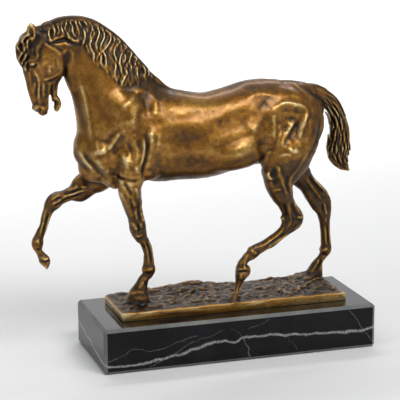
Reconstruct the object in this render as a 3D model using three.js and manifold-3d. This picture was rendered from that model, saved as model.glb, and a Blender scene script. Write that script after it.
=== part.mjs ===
// A striding bronze horse, cast in one with the oblong of earth it walks on, fixed to a block of
// black marble. Millimetres, +Z up. The origin is in the middle of the plinth's underside. The horse
// faces -X, and the side that its mane falls on, its near side, faces -Y.

import * as THREE from "three";
import Module from "manifold-3d";

// The marble block and the ground plate
const PLINTH = { length: 250, width: 100, height: 40, bevel: 2.4 };
const PLATE = { length: 208, width: 62, thickness: 6.8, cell: 5.2 };
const PLATE_TOP = PLINTH.height + PLATE.thickness;

// The modelled skin: size of the cubes it is sampled in, and how many flat faces it keeps
const GRAIN = 1.6;
const BRONZE_FACES = 8300;
const CLAY_LOW = [-191, -42, 41];
const CLAY_HIGH = [124, 42, 307];

// A section is [front x, front z, back x, back z, middle y, half width]: the two ends of a cut through
// the body. On lying parts, such as the trunk, the first end is the upper one.
const TRUNK = [
  [-125, 208, -123, 175, 0, 12],
  [-117, 213, -116, 166, 0, 20],
  [-105, 220, -105, 158, 0, 24],
  [-88, 229, -88, 157, 0, 28],
  [-68, 236, -70, 156, 0, 30.5],
  [-47, 235, -47, 156, 0, 33],
  [-22, 230.3, -22, 156.4, 0, 34.5],
  [2, 234, 2, 161, 0, 34.5],
  [22.5, 240.2, 24, 164.6, 0, 32.5],
  [42, 240.6, 41, 169, 0, 30],
  [57.5, 238.2, 54, 174, 0, 27],
  [73, 234.6, 67, 184, 0, 21],
  [82.5, 225, 76.5, 198, 0, 13],
];
const NECK = [
  [-48, 233, -119, 172, 0, 24],
  [-57, 242, -127.6, 190, 0, 23.5],
  [-69, 253, -130.4, 208, 0, 20.5],
  [-83, 268, -132.6, 224, 0, 17.5],
  [-96, 282, -136, 237, 0, 15],
  [-111, 293.2, -139.2, 248, 0, 13],
  [-127, 298, -143.6, 258, 0, 12],
  [-143, 299, -149, 268, 0, 10.5],
];
const HEAD = [
  [-163, 292, -147, 288, 0, 8],
  [-171, 286.5, -143, 281, 0, 10.5],
  [-175.5, 279, -141, 272, 0, 12],
  [-177.8, 267, -141, 262, 0, 12],
  [-178, 256, -144, 253, 0, 10],
  [-176.2, 247, -149, 246, 0, 7.6],
  [-174, 238.5, -153.5, 239, 0, 6],
  [-171, 230.5, -156, 231, 0, 5.6],
  [-168.3, 225, -156.8, 225.5, 0, 6],
  [-165.5, 222.8, -159.2, 222, 0, 5],
];
const LOWER_JAW = [
  [-160, 251, -146.5, 250, 0, 6.5],
  [-157, 243, -148.3, 243.5, 0, 4.8],
  [-154.8, 236.5, -149, 236.5, 0, 3.8],
  [-154.2, 232, -146.8, 232, 0, 4],
  [-153.6, 227, -146, 228, 0, 4.4],
  [-152, 223.6, -148, 224, 0, 3.4],
];
const OPEN_MOUTH = [
  [-156.6, 236.5, -155, 236.5, 0, 9],
  [-157, 231, -153.7, 231.5, 0, 9],
  [-157.4, 222, -152.6, 220, 0, 9],
];
const NEAR_FORELEG = [
  [-102, 175, -79, 180, -20, 12.5],
  [-103, 164, -80, 168, -20.5, 12.5],
  [-102.5, 154.8, -82.6, 157, -20, 10.8],
  [-99.2, 143.6, -81.5, 146, -18, 8.7],
  [-95.4, 134, -80.2, 134.5, -16, 7.2],
  [-92.4, 124.4, -77.6, 123.2, -14.5, 6.5],
  [-91.6, 117.5, -75.6, 114.5, -13.5, 6.4],
  [-87.8, 110.6, -74.4, 108, -13, 5.4],
  [-82.7, 103.6, -71.6, 101.4, -12, 3.9],
  [-79.2, 95, -70.2, 92.6, -11.5, 3.4],
  [-79, 86.7, -69.4, 84.5, -11, 4.2],
  [-80.2, 81, -68.3, 78.8, -10.5, 5],
  [-80.2, 76, -70.6, 73.4, -10, 4.2],
  [-83.2, 72, -73.4, 70.4, -10, 4.5],
  [-86.8, 65, -75, 64, -9.5, 6],
  [-90.8, 59.7, -74, 58, -9, 7.6],
  [-94, 53, -73.4, 51, -9, 8.6],
];
const OFF_FORELEG = [
  [-104, 182, -88, 164, 18, 12],
  [-123.4, 167.6, -98.4, 151.4, 18, 12],
  [-131.6, 160.6, -109.6, 147.4, 17, 10],
  [-140.4, 153.6, -120.8, 141.8, 15, 8],
  [-147.3, 149.3, -130.8, 141.8, 14, 6.6],
  [-155.6, 146.8, -141.4, 139.2, 13.5, 6.2],
  [-159.4, 142, -148, 135.6, 13, 6.2],
  [-160.5, 136.8, -153.4, 130.8, 12.5, 5],
  [-163.1, 128.5, -156.2, 125.6, 12, 3.6],
  [-165.6, 120.7, -159, 118.6, 12, 3.3],
  [-169.7, 113, -161.6, 111.5, 12, 4.2],
  [-172.5, 106, -162.2, 105.2, 12, 4.8],
  [-170.2, 99.6, -163.5, 99.4, 12, 4.2],
  [-167.9, 94.6, -161.5, 96, 12, 4.5],
  [-166.3, 89, -157.3, 91.8, 12, 6.3],
  [-163.4, 84.2, -157.4, 87.2, 12, 6.2],
  [-161, 81.6, -159.4, 83, 12, 4.5],
];
const NEAR_HIND_LEG = [
  [23, 196, 83.2, 206, -17, 14],
  [22, 180, 80.2, 190, -19, 15],
  [22.8, 164.2, 70.6, 171, -21, 14],
  [27, 157.5, 60.5, 157.5, -22.5, 12.3],
  [30.2, 149.1, 56, 148.3, -22.5, 10.2],
  [36, 138.9, 57, 136.3, -22, 8],
  [41.8, 130.4, 60.2, 127.6, -21, 5.9],
  [44.2, 122.8, 65.6, 119.6, -20, 5],
  [43.4, 114.2, 65, 112.6, -20, 5],
  [41, 106.6, 53, 104, -20.5, 4.4],
  [27.6, 99.4, 40.4, 94.9, -21.5, 3.8],
  [16.4, 95.6, 27.9, 89.6, -22.5, 4.3],
  [11, 90.6, 21.9, 86.2, -23, 4.8],
  [8.2, 85.4, 14.8, 83, -23, 4.2],
  [3.8, 80.9, 12.8, 79.4, -23.5, 4.8],
  [1.7, 75.4, 14.9, 75.2, -24, 6.5],
  [1.5, 68.5, 10.6, 68.5, -24, 6.1],
  [2, 63, 6.7, 62.6, -24, 3.6],
];
const TOE_POST = [
  [1.5, 65, 7, 65, -24, 3],
  [1, 60, 5.4, 60, -24.5, 2.5],
  [0, 56, 4.2, 56, -25, 2.4],
  [-2.6, 52, 4, 52, -25.5, 3],
  [-5.6, 48.5, 5.6, 48.5, -25.5, 4.4],
];
const OFF_HIND_LEG = [
  [40, 185, 83, 195, 16, 13],
  [54, 163, 82, 172, 17.5, 13],
  [62.6, 151.6, 83.6, 161.3, 18, 11.5],
  [69.5, 140.2, 86.2, 153.4, 18, 9.6],
  [77.3, 133.8, 92.4, 143.3, 18, 7.6],
  [84.6, 122.8, 100.2, 135, 17.5, 6],
  [91.6, 110.8, 106.4, 125.3, 17, 5.1],
  [96, 102.2, 107, 113.8, 17, 4.8],
  [97.9, 93.4, 106.8, 98.8, 17, 4.1],
  [98.4, 82.4, 108, 82.4, 17, 3.8],
  [97.6, 74, 109, 75.3, 17.5, 4.8],
  [95.8, 68.2, 103.6, 68.2, 18, 4.2],
  [92.2, 63.8, 101.2, 62.6, 19, 4.6],
  [89.4, 58, 101.4, 57.5, 20, 6.2],
  [85.6, 52, 101.6, 50, 20, 7.2],
];
const TAIL = [
  [66, 235.6, 61, 223, 0, 5],
  [76, 234.4, 71, 222.5, 0, 6],
  [87.4, 232.6, 82, 221.5, 0, 6],
  [100, 225.4, 90.8, 213, 0, 6.6],
  [109.6, 214.4, 96.6, 203.5, 0, 7.4],
  [115.6, 200.6, 98.6, 193.5, 0, 7.8],
  [118, 187, 97.6, 184, 0, 8],
  [118.6, 174.5, 96.8, 174.5, 0, 7.8],
  [118.6, 165.5, 99.4, 164, 0, 6.8],
  [119.4, 159.5, 106.2, 157.2, 0, 5.2],
  [119.6, 154.4, 113.4, 154.4, 0, 3.2],
];

// The crest that the mane is rooted on, the withers behind it, and the hem that its locks reach, as [x, z]
const CREST = [
  [-155, 297], [-146.6, 300], [-138, 301.2], [-127.7, 300.6], [-119, 298.3], [-110.6, 293], [-102, 286.8],
  [-96, 281.6], [-89, 273.8], [-80.5, 263.8], [-73.5, 256], [-67.4, 250.6],
];
const WITHERS = [[-61, 245], [-56, 240.2], [-49, 236], [-40, 233.6]];
const CREST_RADIUS = 4.2;
const HEM = [
  [-160, 285], [-149, 287], [-143, 288], [-136, 284], [-130, 281.5], [-126, 277], [-122, 269], [-116, 262],
  [-108, 255], [-100, 246], [-96, 242.5], [-88, 243.5], [-80, 244.5], [-73, 246], [-68, 249],
];
const NEAR_LOCKS = { count: 16, side: -1, width: 4.3, flatness: 0.72, reach: 1, seed: 3 };
const FAR_LOCKS = { count: 13, side: 1, width: 4.2, flatness: 0.55, reach: 0.42, seed: 8 };
const FORELOCK = [
  [[-160, -1, 292, 4], [-168.6, -1, 289.8, 4.6], [-175.4, -1, 284, 4.8], [-179.6, -1, 277, 5]],
  [[-179.6, -1, 277, 5], [-179.2, -1, 269.5, 4.2], [-177, -1, 262.5, 2.6], [-176, -1, 257.5, 1]],
  [[-166, -4, 289, 4], [-173.6, -5.4, 284.6, 4], [-177, -6, 276, 3.6], [-175.6, -4.8, 264, 1.6]],
  [[-166, 4, 289, 4], [-173.6, 5.4, 284.6, 4], [-177, 6, 276, 3.6], [-175.6, 4.8, 264, 1.6]],
];

// An ear and its hollow, as [x, y, z, radius] from the middle of the ear
const EAR = [
  [0.8, 8, -6, 2.4], [0.2, 9, -2.5, 3.7], [-0.2, 9.4, 1, 3.9], [-0.9, 9.6, 4.4, 2.6], [-1.6, 9.6, 7, 0.9],
];
const EAR_HOLLOW = [[0.1, 11.4, -3, 1.5], [-0.3, 11.8, 0.6, 2.3], [-1, 11.7, 3.8, 1.1]];
const EARS = [[-171.4, -1, 291], [-166.5, 1, 289.5]];

// Grooves between the tail's strands on each side
const TAIL_GROOVES = { count: 6, depth: 1.5, soft: 1.9, slack: 0.12 };

// Mounds of earth as [x, y, radius, height]
const MOUNDS = [
  [-26, 25, 34, 4.6],
  [84, 24, 26, 2.6],
  [-84, -9, 17, 3.4],
  [2, -23, 9, 2.2],
  [92, 18, 15, 2.4],
  [-70, 12, 20, 1.4],
];

const clamp = (value, low, high) => Math.min(high, Math.max(low, value));
const mix = (a, b, t) => a + t * (b - a);
const dot = (a, b) => a[0] * b[0] + a[1] * b[1] + a[2] * b[2];
const minus = (a, b) => [a[0] - b[0], a[1] - b[1], a[2] - b[2]];
const between = (a, b, t) => [mix(a[0], b[0], t), mix(a[1], b[1], t), mix(a[2], b[2], t)];
const cross = (a, b) => [a[1] * b[2] - a[2] * b[1], a[2] * b[0] - a[0] * b[2], a[0] * b[1] - a[1] * b[0]];
const scaled = (a, by) => [a[0] * by, a[1] * by, a[2] * by];
const length = (a) => Math.sqrt(dot(a, a));

// The smaller of two distances, rounded off where they are within `blend` of each other.
function smoothMin(a, b, blend) {
  const near = Math.max(blend - Math.abs(a - b), 0) / blend;
  return Math.min(a, b) - (near * near * near * blend) / 6;
}

// A repeatable row of numbers between 0 and 1.
function randomRow(seed) {
  let state = seed;
  return () => {
    state = (state * 16807) % 2147483647;
    return state / 2147483647;
  };
}

// A smooth curve through rows of numbers, with `fine` steps from each row to the next.
function throughRows(rows, fine) {
  const at = (i, k) => {
    if (i < 0) return 2 * rows[0][k] - rows[1][k];
    if (i >= rows.length) return 2 * rows[rows.length - 1][k] - rows[rows.length - 2][k];
    return rows[i][k];
  };
  const result = [];
  for (let i = 0; i < rows.length - 1; i++)
    for (let step = 0; step < fine + (i === rows.length - 2 ? 1 : 0); step++) {
      const t = step / fine;
      result.push(
        rows[i].map((_, k) => {
          const [a, b, c, d] = [at(i - 1, k), at(i, k), at(i + 1, k), at(i + 2, k)];
          const bend = (2 * a - 5 * b + 4 * c - d) * t * t + (3 * b - a - 3 * c + d) * t * t * t;
          return 0.5 * (2 * b + (c - a) * t + bend);
        }),
      );
    }
  return result;
}

// Height of a bent line of [x, z] points at x.
function lineHeight(line, x) {
  for (let i = 1; i < line.length; i++)
    if (x <= line[i][0] || i === line.length - 1) {
      const [[x0, z0], [x1, z1]] = [line[i - 1], line[i]];
      return z0 + (z1 - z0) * clamp((x - x0) / (x1 - x0), 0, 1);
    }
}

// An ellipsoid, half lengths `radii` along x, y and z, its front end raised by `pitch` degrees.
function blob(centre, radii, pitch = 0) {
  const turn = (pitch * Math.PI) / 180;
  const [cos, sin] = [Math.cos(turn), Math.sin(turn)];
  const [long, wide, high] = radii;
  const reach = [Math.hypot(long * cos, high * sin), wide, Math.hypot(long * sin, high * cos)];
  const distance = (x, y, z) => {
    const [dx, dy, dz] = [x - centre[0], y - centre[1], z - centre[2]];
    const along = dx * cos - dz * sin;
    const up = dx * sin + dz * cos;
    const ratio = Math.hypot(along / radii[0], dy / radii[1], up / radii[2]) + 1e-6;
    return (Math.hypot(along, dy, up) * (ratio - 1)) / ratio;
  };
  return [{ low: centre.map((c, k) => c - reach[k]), high: centre.map((c, k) => c + reach[k]), distance }];
}

// A body swept through sections, each a superellipse of power `power`. `pinch` narrows its first side.
function sweep(sections, power = 2.2, pinch = 0) {
  const rings = throughRows(sections, 3).map(([fx, fz, bx, bz, y, half]) => ({
    centre: [(fx + bx) / 2, y, (fz + bz) / 2],
    across: [(fx - bx) / 2, 0, (fz - bz) / 2],
    half: Math.max(half, 0.3),
  }));
  rings.forEach((ring, i) => {
    const [next, last] = [rings[Math.min(i + 1, rings.length - 1)], rings[Math.max(i - 1, 0)]];
    const course = minus(next.centre, last.centre);
    ring.along = scaled(course, 1 / length(course));
    const straight = minus(ring.across, scaled(ring.along, dot(ring.across, ring.along)));
    ring.depth = length(straight);
    ring.across = scaled(straight, 1 / ring.depth);
  });
  return rings.slice(0, -1).map((a, i) => {
    const b = rings[i + 1];
    const first = i === 0;
    const last = i === rings.length - 2;
    const distance = (x, y, z) => {
      const point = [x, y, z];
      const behind = dot(minus(point, a.centre), a.along);
      const ahead = dot(minus(point, b.centre), b.along);
      if (behind - ahead < 1e-6) return 1000;
      const place = behind / (behind - ahead);
      if ((place < 0 && !first) || (place > 1 && !last)) return 1000;
      const t = clamp(place, 0, 1);
      const beyond = place < 0 ? behind : place > 1 ? ahead : 0;
      const across = between(a.across, b.across, t);
      const offset = minus(point, between(a.centre, b.centre, t));
      const up = dot(offset, across);
      const out = dot(offset, cross(between(a.along, b.along, t), across));
      const depth = mix(a.depth, b.depth, t);
      const half = mix(a.half, b.half, t) * clamp(1 - (pinch * up) / depth, 0.2, 1.8);
      const end = Math.abs(beyond / Math.min(depth, half)) ** power;
      const parts = Math.abs(up / depth) ** power + Math.abs(out / half) ** power + end;
      const ratio = parts ** (1 / power) + 1e-6;
      return (Math.sqrt(up * up + out * out + beyond * beyond) * (ratio - 1)) / ratio;
    };
    const reach = Math.max(a.depth, b.depth, a.half, b.half);
    const low = a.centre.map((c, k) => Math.min(c, b.centre[k]) - reach);
    const high = a.centre.map((c, k) => Math.max(c, b.centre[k]) + reach);
    return { low, high, distance };
  });
}

// A strand along rows of [x, y, z, radius], pressed flat sideways to `flatness` times its width.
function strand(rows, flatness = 1) {
  const points = throughRows(rows, 2);
  return points.slice(0, -1).map((a, i) => {
    const b = points[i + 1];
    const course = minus(b, a);
    const square = dot(course, course) + 1e-9;
    const steepness = flatness < 1 ? 0.8 : 1;
    const distance = (x, y, z) => {
      const offset = [x - a[0], y - a[1], z - a[2]];
      const t = clamp(dot(offset, course) / square, 0, 1);
      const [dx, dy, dz] = minus(offset, scaled(course, t));
      const side = dy / flatness;
      return (Math.sqrt(dx * dx + side * side + dz * dz) - mix(a[3], b[3], t)) * steepness;
    };
    const reach = Math.max(a[3], b[3]);
    const low = [0, 1, 2].map((k) => Math.min(a[k], b[k]) - reach);
    const high = [0, 1, 2].map((k) => Math.max(a[k], b[k]) + reach);
    return { low, high, distance };
  });
}

// A block of modelling clay: the distance to the skin, below zero inside it, at the corners of small cubes.
class Clay {
  constructor(low, high, grain) {
    this.low = low;
    this.grain = grain;
    this.count = low.map((l, k) => Math.ceil((high[k] - l) / grain) + 1);
    this.field = new Float32Array(this.count[0] * this.count[1] * this.count[2]).fill(12);
    this.nearest = new Float32Array(this.field.length).fill(Infinity);
  }

  index(i, j, k) {
    return (i * this.count[1] + j) * this.count[2] + k;
  }

  // Calls change(corner, distance) at each corner near a shape, with the least distance of its pieces there.
  visit(shape, reach, change) {
    const { low, grain, count, nearest } = this;
    const touched = [];
    for (const piece of shape) {
      const from = low.map((l, k) => Math.max(0, Math.floor((piece.low[k] - reach - l) / grain)));
      const to = low.map((l, k) => Math.min(count[k] - 1, Math.ceil((piece.high[k] + reach - l) / grain)));
      for (let i = from[0]; i <= to[0]; i++)
        for (let j = from[1]; j <= to[1]; j++)
          for (let k = from[2]; k <= to[2]; k++) {
            const distance = piece.distance(low[0] + i * grain, low[1] + j * grain, low[2] + k * grain);
            const corner = this.index(i, j, k);
            if (distance > reach || distance >= nearest[corner]) continue;
            if (nearest[corner] === Infinity) touched.push(corner);
            nearest[corner] = distance;
          }
    }
    for (const corner of touched) {
      change(corner, nearest[corner]);
      nearest[corner] = Infinity;
    }
  }

  join(shape, blend) {
    this.visit(shape, blend + 2 * this.grain, (corner, distance) => {
      this.field[corner] = smoothMin(this.field[corner], distance, blend);
    });
  }

  cut(shape, blend) {
    this.visit(shape, blend + 2 * this.grain, (corner, distance) => {
      this.field[corner] = -smoothMin(-this.field[corner], distance, blend);
    });
  }

  // Raises the skin by `height` where the shape touches it, fading out over `soft`. Below zero it sinks it.
  raise(shape, height, soft) {
    this.visit(shape, soft, (corner, distance) => {
      const near = clamp(1 - Math.max(distance, 0) / soft, 0, 1);
      this.field[corner] -= height * near * near * (3 - 2 * near);
    });
  }

  at(x, y, z) {
    const place = [x, y, z].map((v, k) => clamp((v - this.low[k]) / this.grain, 0, this.count[k] - 1.001));
    const [i, j, k] = place.map(Math.floor);
    const [a, b, c] = [place[0] - i, place[1] - j, place[2] - k];
    let sum = 0;
    for (const [di, dj, dk] of CORNERS) {
      const weight = (di ? a : 1 - a) * (dj ? b : 1 - b) * (dk ? c : 1 - c);
      sum += weight * this.field[this.index(i + di, j + dj, k + dk)];
    }
    return sum;
  }

  // y of the skin seen from one side (-1 near, 1 far) at x and z, or `missing` where there is none.
  skin(x, z, side, missing = 0) {
    const step = this.grain / 2;
    const edge = side < 0 ? this.low[1] : -this.low[1];
    let before = this.at(x, edge, z);
    for (let depth = step; depth < 2 * Math.abs(edge); depth += step) {
      const here = this.at(x, edge - side * depth, z);
      if (here < 0) return edge - side * (depth - (step * here) / (here - before));
      before = here;
    }
    return missing;
  }
}

// The eight corners of a cube, and the six tetrahedra that fill it, each a walk from first corner to last
const CORNERS = [0, 1, 2, 3, 4, 5, 6, 7].map((n) => [n >> 2, (n >> 1) & 1, n & 1]);
const WALKS = [[4, 6], [4, 5], [2, 6], [2, 3], [1, 5], [1, 3]].map(([a, b]) => [0, a, b, 7]);

// The skin as triangles: each tetrahedron that the skin passes through gives one or two of them.
function skinTriangles(clay) {
  const points = [];
  const faces = [];
  const known = new Map();
  const offsets = CORNERS.map(([i, j, k]) => clay.index(i, j, k));
  const place = (corner) => {
    const k = corner % clay.count[2];
    const j = ((corner - k) / clay.count[2]) % clay.count[1];
    const i = ((corner - k) / clay.count[2] - j) / clay.count[1];
    return [i, j, k].map((step, axis) => clay.low[axis] + step * clay.grain);
  };
  const crossing = (inside, outside) => {
    const key = Math.min(inside, outside) * clay.field.length + Math.max(inside, outside);
    if (!known.has(key)) {
      const [a, b] = [clay.field[inside], clay.field[outside]];
      const t = clamp(a / (a - b), 0.06, 0.94);
      const [from, to] = [place(inside), place(outside)];
      known.set(key, points.length);
      points.push(between(from, to, t));
    }
    return known.get(key);
  };
  const addFace = (a, b, c, insideCorner) => {
    const [u, v, w] = [points[b], points[c], place(insideCorner)].map((s) => minus(s, points[a]));
    faces.push(dot(cross(u, v), w) > 0 ? [a, c, b] : [a, b, c]);
  };
  for (let i = 0; i < clay.count[0] - 1; i++)
    for (let j = 0; j < clay.count[1] - 1; j++)
      for (let k = 0; k < clay.count[2] - 1; k++) {
        const base = clay.index(i, j, k);
        const below = offsets.filter((o) => clay.field[base + o] < 0).length;
        if (below === 0 || below === 8) continue;
        for (const walk of WALKS) {
          const corners = walk.map((n) => base + offsets[n]);
          const inside = corners.filter((c) => clay.field[c] < 0);
          const outside = corners.filter((c) => clay.field[c] >= 0);
          if (inside.length === 1 || outside.length === 1) {
            const [lone, rest] = inside.length === 1 ? [inside[0], outside] : [outside[0], inside];
            const cuts = rest.map((c) => (inside.length === 1 ? crossing(lone, c) : crossing(c, lone)));
            addFace(...cuts, inside[0]);
          } else if (inside.length === 2) {
            const [a, b, c, d] = [0, 1, 1, 0].map((o, n) => crossing(inside[n >> 1], outside[o]));
            addFace(a, b, c, inside[0]);
            addFace(a, c, d, inside[0]);
          }
        }
      }
  return { points, faces };
}

// Drops the flattest edges first until about `target` faces are left. Each point keeps the sum of the squared
// distances to the planes it stands for, as the ten numbers of a symmetric matrix.
function simplify({ points, faces }, target) {
  const quadrics = points.map(() => new Float64Array(10));
  const around = points.map(() => new Set());
  const normalOf = ([a, b, c], moved = -1, to = null) => {
    const [p, q, r] = [a, b, c].map((n) => (n === moved ? to : points[n]));
    return cross(minus(q, p), minus(r, p));
  };
  faces.forEach((face, f) => {
    const normal = normalOf(face);
    const area = length(normal) + 1e-12;
    const [x, y, z] = normal.map((n) => n / area);
    const p = points[face[0]];
    const w = -(x * p[0] + y * p[1] + z * p[2]);
    const terms = [x * x, x * y, x * z, x * w, y * y, y * z, y * w, z * z, z * w, w * w];
    for (const n of face) {
      around[n].add(f);
      terms.forEach((term, k) => (quadrics[n][k] += term * area));
    }
  });
  const error = (q, [x, y, z]) =>
    q[0] * x * x + 2 * q[1] * x * y + 2 * q[2] * x * z + 2 * q[3] * x + q[4] * y * y +
    2 * q[5] * y * z + 2 * q[6] * y + q[7] * z * z + 2 * q[8] * z + q[9];
  const bestPlace = (a, b) => {
    const q = quadrics[a].map((v, k) => v + quadrics[b][k]);
    const middle = points[a].map((v, k) => (v + points[b][k]) / 2);
    const choices = [middle, points[a], points[b]];
    const span = length(minus(points[a], points[b]));
    const matrix = new THREE.Matrix3().set(q[0], q[1], q[2], q[1], q[4], q[5], q[2], q[5], q[7]);
    if (Math.abs(matrix.determinant()) > 1e-5) {
      const best = new THREE.Vector3(-q[3], -q[6], -q[8]).applyMatrix3(matrix.invert());
      if (length(minus(best.toArray(), middle)) < 1.5 * span) choices.unshift(best.toArray());
    }
    const costs = choices.map((c) => error(q, c));
    const least = costs.indexOf(Math.min(...costs));
    return { cost: costs[least] + 1e-4 * span * span, to: choices[least], q };
  };
  const neighbours = (n) => {
    const found = new Set();
    for (const f of around[n]) for (const m of faces[f]) if (m !== n) found.add(m);
    return found;
  };

  // A heap of edges, the cheapest on top. An edge whose ends have changed since is skipped.
  const heap = [];
  const version = new Int32Array(points.length);
  const swap = (i, j) => ([heap[i], heap[j]] = [heap[j], heap[i]]);
  const push = (a, b) => {
    const { cost } = bestPlace(a, b);
    heap.push({ a, b, cost, stamp: version[a] + version[b] });
    for (let i = heap.length - 1; i > 0; ) {
      const parent = (i - 1) >> 1;
      if (heap[parent].cost <= heap[i].cost) break;
      swap(i, parent);
      i = parent;
    }
  };
  const pop = () => {
    const top = heap[0];
    const last = heap.pop();
    if (heap.length === 0) return top;
    heap[0] = last;
    for (let i = 0; ; ) {
      let least = i;
      for (const child of [2 * i + 1, 2 * i + 2])
        if (child < heap.length && heap[child].cost < heap[least].cost) least = child;
      if (least === i) return top;
      swap(i, least);
      i = least;
    }
  };
  points.forEach((_, a) => neighbours(a).forEach((b) => a < b && push(a, b)));

  let left = faces.length;
  const gone = new Uint8Array(points.length);
  while (left > target && heap.length) {
    const { a, b, stamp } = pop();
    if (gone[a] || gone[b] || stamp !== version[a] + version[b]) continue;
    const [ringA, ringB] = [neighbours(a), neighbours(b)];
    if (!ringA.has(b) || [...ringA].filter((n) => ringB.has(n)).length !== 2) continue;
    const { to, q } = bestPlace(a, b);
    const turned = (n, other) =>
      [...around[n]].some((f) => {
        if (faces[f].includes(other)) return false;
        const [before, after] = [normalOf(faces[f]), normalOf(faces[f], n, to)];
        const size = length(after);
        return dot(before, after) < 0.3 * length(before) * size || size < 1e-3;
      });
    if (turned(a, b) || turned(b, a)) continue;
    for (const f of [...around[b]])
      if (faces[f].includes(a)) {
        faces[f].forEach((n) => around[n].delete(f));
        faces[f] = null;
        left--;
      } else {
        faces[f] = faces[f].map((n) => (n === b ? a : n));
        around[a].add(f);
      }
    gone[b] = 1;
    around[b].clear();
    points[a] = to;
    quadrics[a] = q;
    version[a] += points.length;
    neighbours(a).forEach((n) => push(a, n));
  }
  return { points, faces: faces.filter(Boolean) };
}

// Closed geometry from points and faces.
function geometryOf({ points, faces }) {
  const geometry = new THREE.BufferGeometry();
  geometry.setAttribute("position", new THREE.Float32BufferAttribute(points.flat(), 3));
  geometry.setIndex(faces.flat());
  return geometry;
}

// Curves that follow the skin, given as [x, z] points seen from the side.
function onSkin(clay, line, side, radius = 0.6) {
  let last = side * 5;
  return strand(
    line.map(([x, z]) => {
      last = clay.skin(x, z, side, last);
      return [x, last, z, radius];
    }),
  );
}

function ridge(clay, line, height, soft) {
  for (const side of [-1, 1]) clay.raise(onSkin(clay, line, side), height, soft);
}

function pad(clay, [x, z], [length, height], rise, soft) {
  for (const side of [-1, 1]) {
    const y = clay.skin(x, z, side);
    clay.raise(blob([x, y, z], [length, 2, height]), rise, soft);
  }
}

function addBody(clay) {
  clay.join(sweep(TRUNK, 2.15, 0.08), 1);
  clay.join(sweep(NECK, 2.1, 0.25), 6);
  clay.join(blob([-116, 0, 186], [18.6, 19, 22]), 6); // breast
  clay.join(blob([-116.4, 3, 170.5], [15, 14, 12.5]), 5);
  clay.join(blob([-99, 0, 167], [17, 15, 15]), 5); // brisket
  for (const side of [-1, 1]) {
    clay.join(blob([-88, side * 16.5, 208], [19, 12, 35], -30), 5); // shoulder blade
    clay.join(blob([-79, side * 20, 180], [20, 11, 19], 20), 4); // upper arm
    clay.join(blob([-113, side * 16, 187], [12.5, 9, 14]), 4); // point of the shoulder
    clay.join(blob([48, side * 14.5, 203], [33, 16, 30], -12), 6); // croup
    clay.join(blob([62, side * 14.5, 200], [25, 13, 29], 14), 6); // buttock
    clay.join(blob([1, side * 24, 182], [30, 13.5, 16], -6), 6); // belly's swelling
  }
  clay.join(blob([64, 0, 228.5], [22, 12, 8], 6), 6); // root of the tail
  clay.join(blob([17.5, 0, 166.4], [12, 6, 5], -10), 2.5); // sheath
}

function addLegs(clay) {
  for (const leg of [NEAR_FORELEG, OFF_FORELEG, NEAR_HIND_LEG, OFF_HIND_LEG]) clay.join(sweep(leg), 4);
  clay.join(sweep(TOE_POST), 1.5);
}

function addHead(clay) {
  clay.join(sweep(HEAD, 2.3), 3);
  for (const side of [-1, 1]) {
    clay.join(blob([-154.8, side * 6.8, 265], [12.2, 4.6, 14.8], -12), 1.5); // cheek
    clay.join(blob([-170.6, side * 7.8, 267.5], [4.6, 3.6, 5.5]), 2.5); // eye's socket
    clay.join(blob([-167.2, side * 3.4, 226.2], [3.4, 3, 3.8]), 1.5); // nostril
  }
  clay.join(blob([-162, 0, 222.8], [4.4, 5, 3], 18), 1.5); // upper lip
  clay.join(sweep(LOWER_JAW), 1.5);
  clay.cut(sweep(OPEN_MOUTH, 2.5), 0.6);
  for (const [x, side, z] of EARS) {
    const placed = (rows) => rows.map(([dx, y, dz, r]) => [x + dx, side * y, z + dz, r]);
    clay.join(strand(placed(EAR), 0.55), 0.8);
    clay.cut(strand(placed(EAR_HOLLOW)), 0.5);
  }
}

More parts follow.
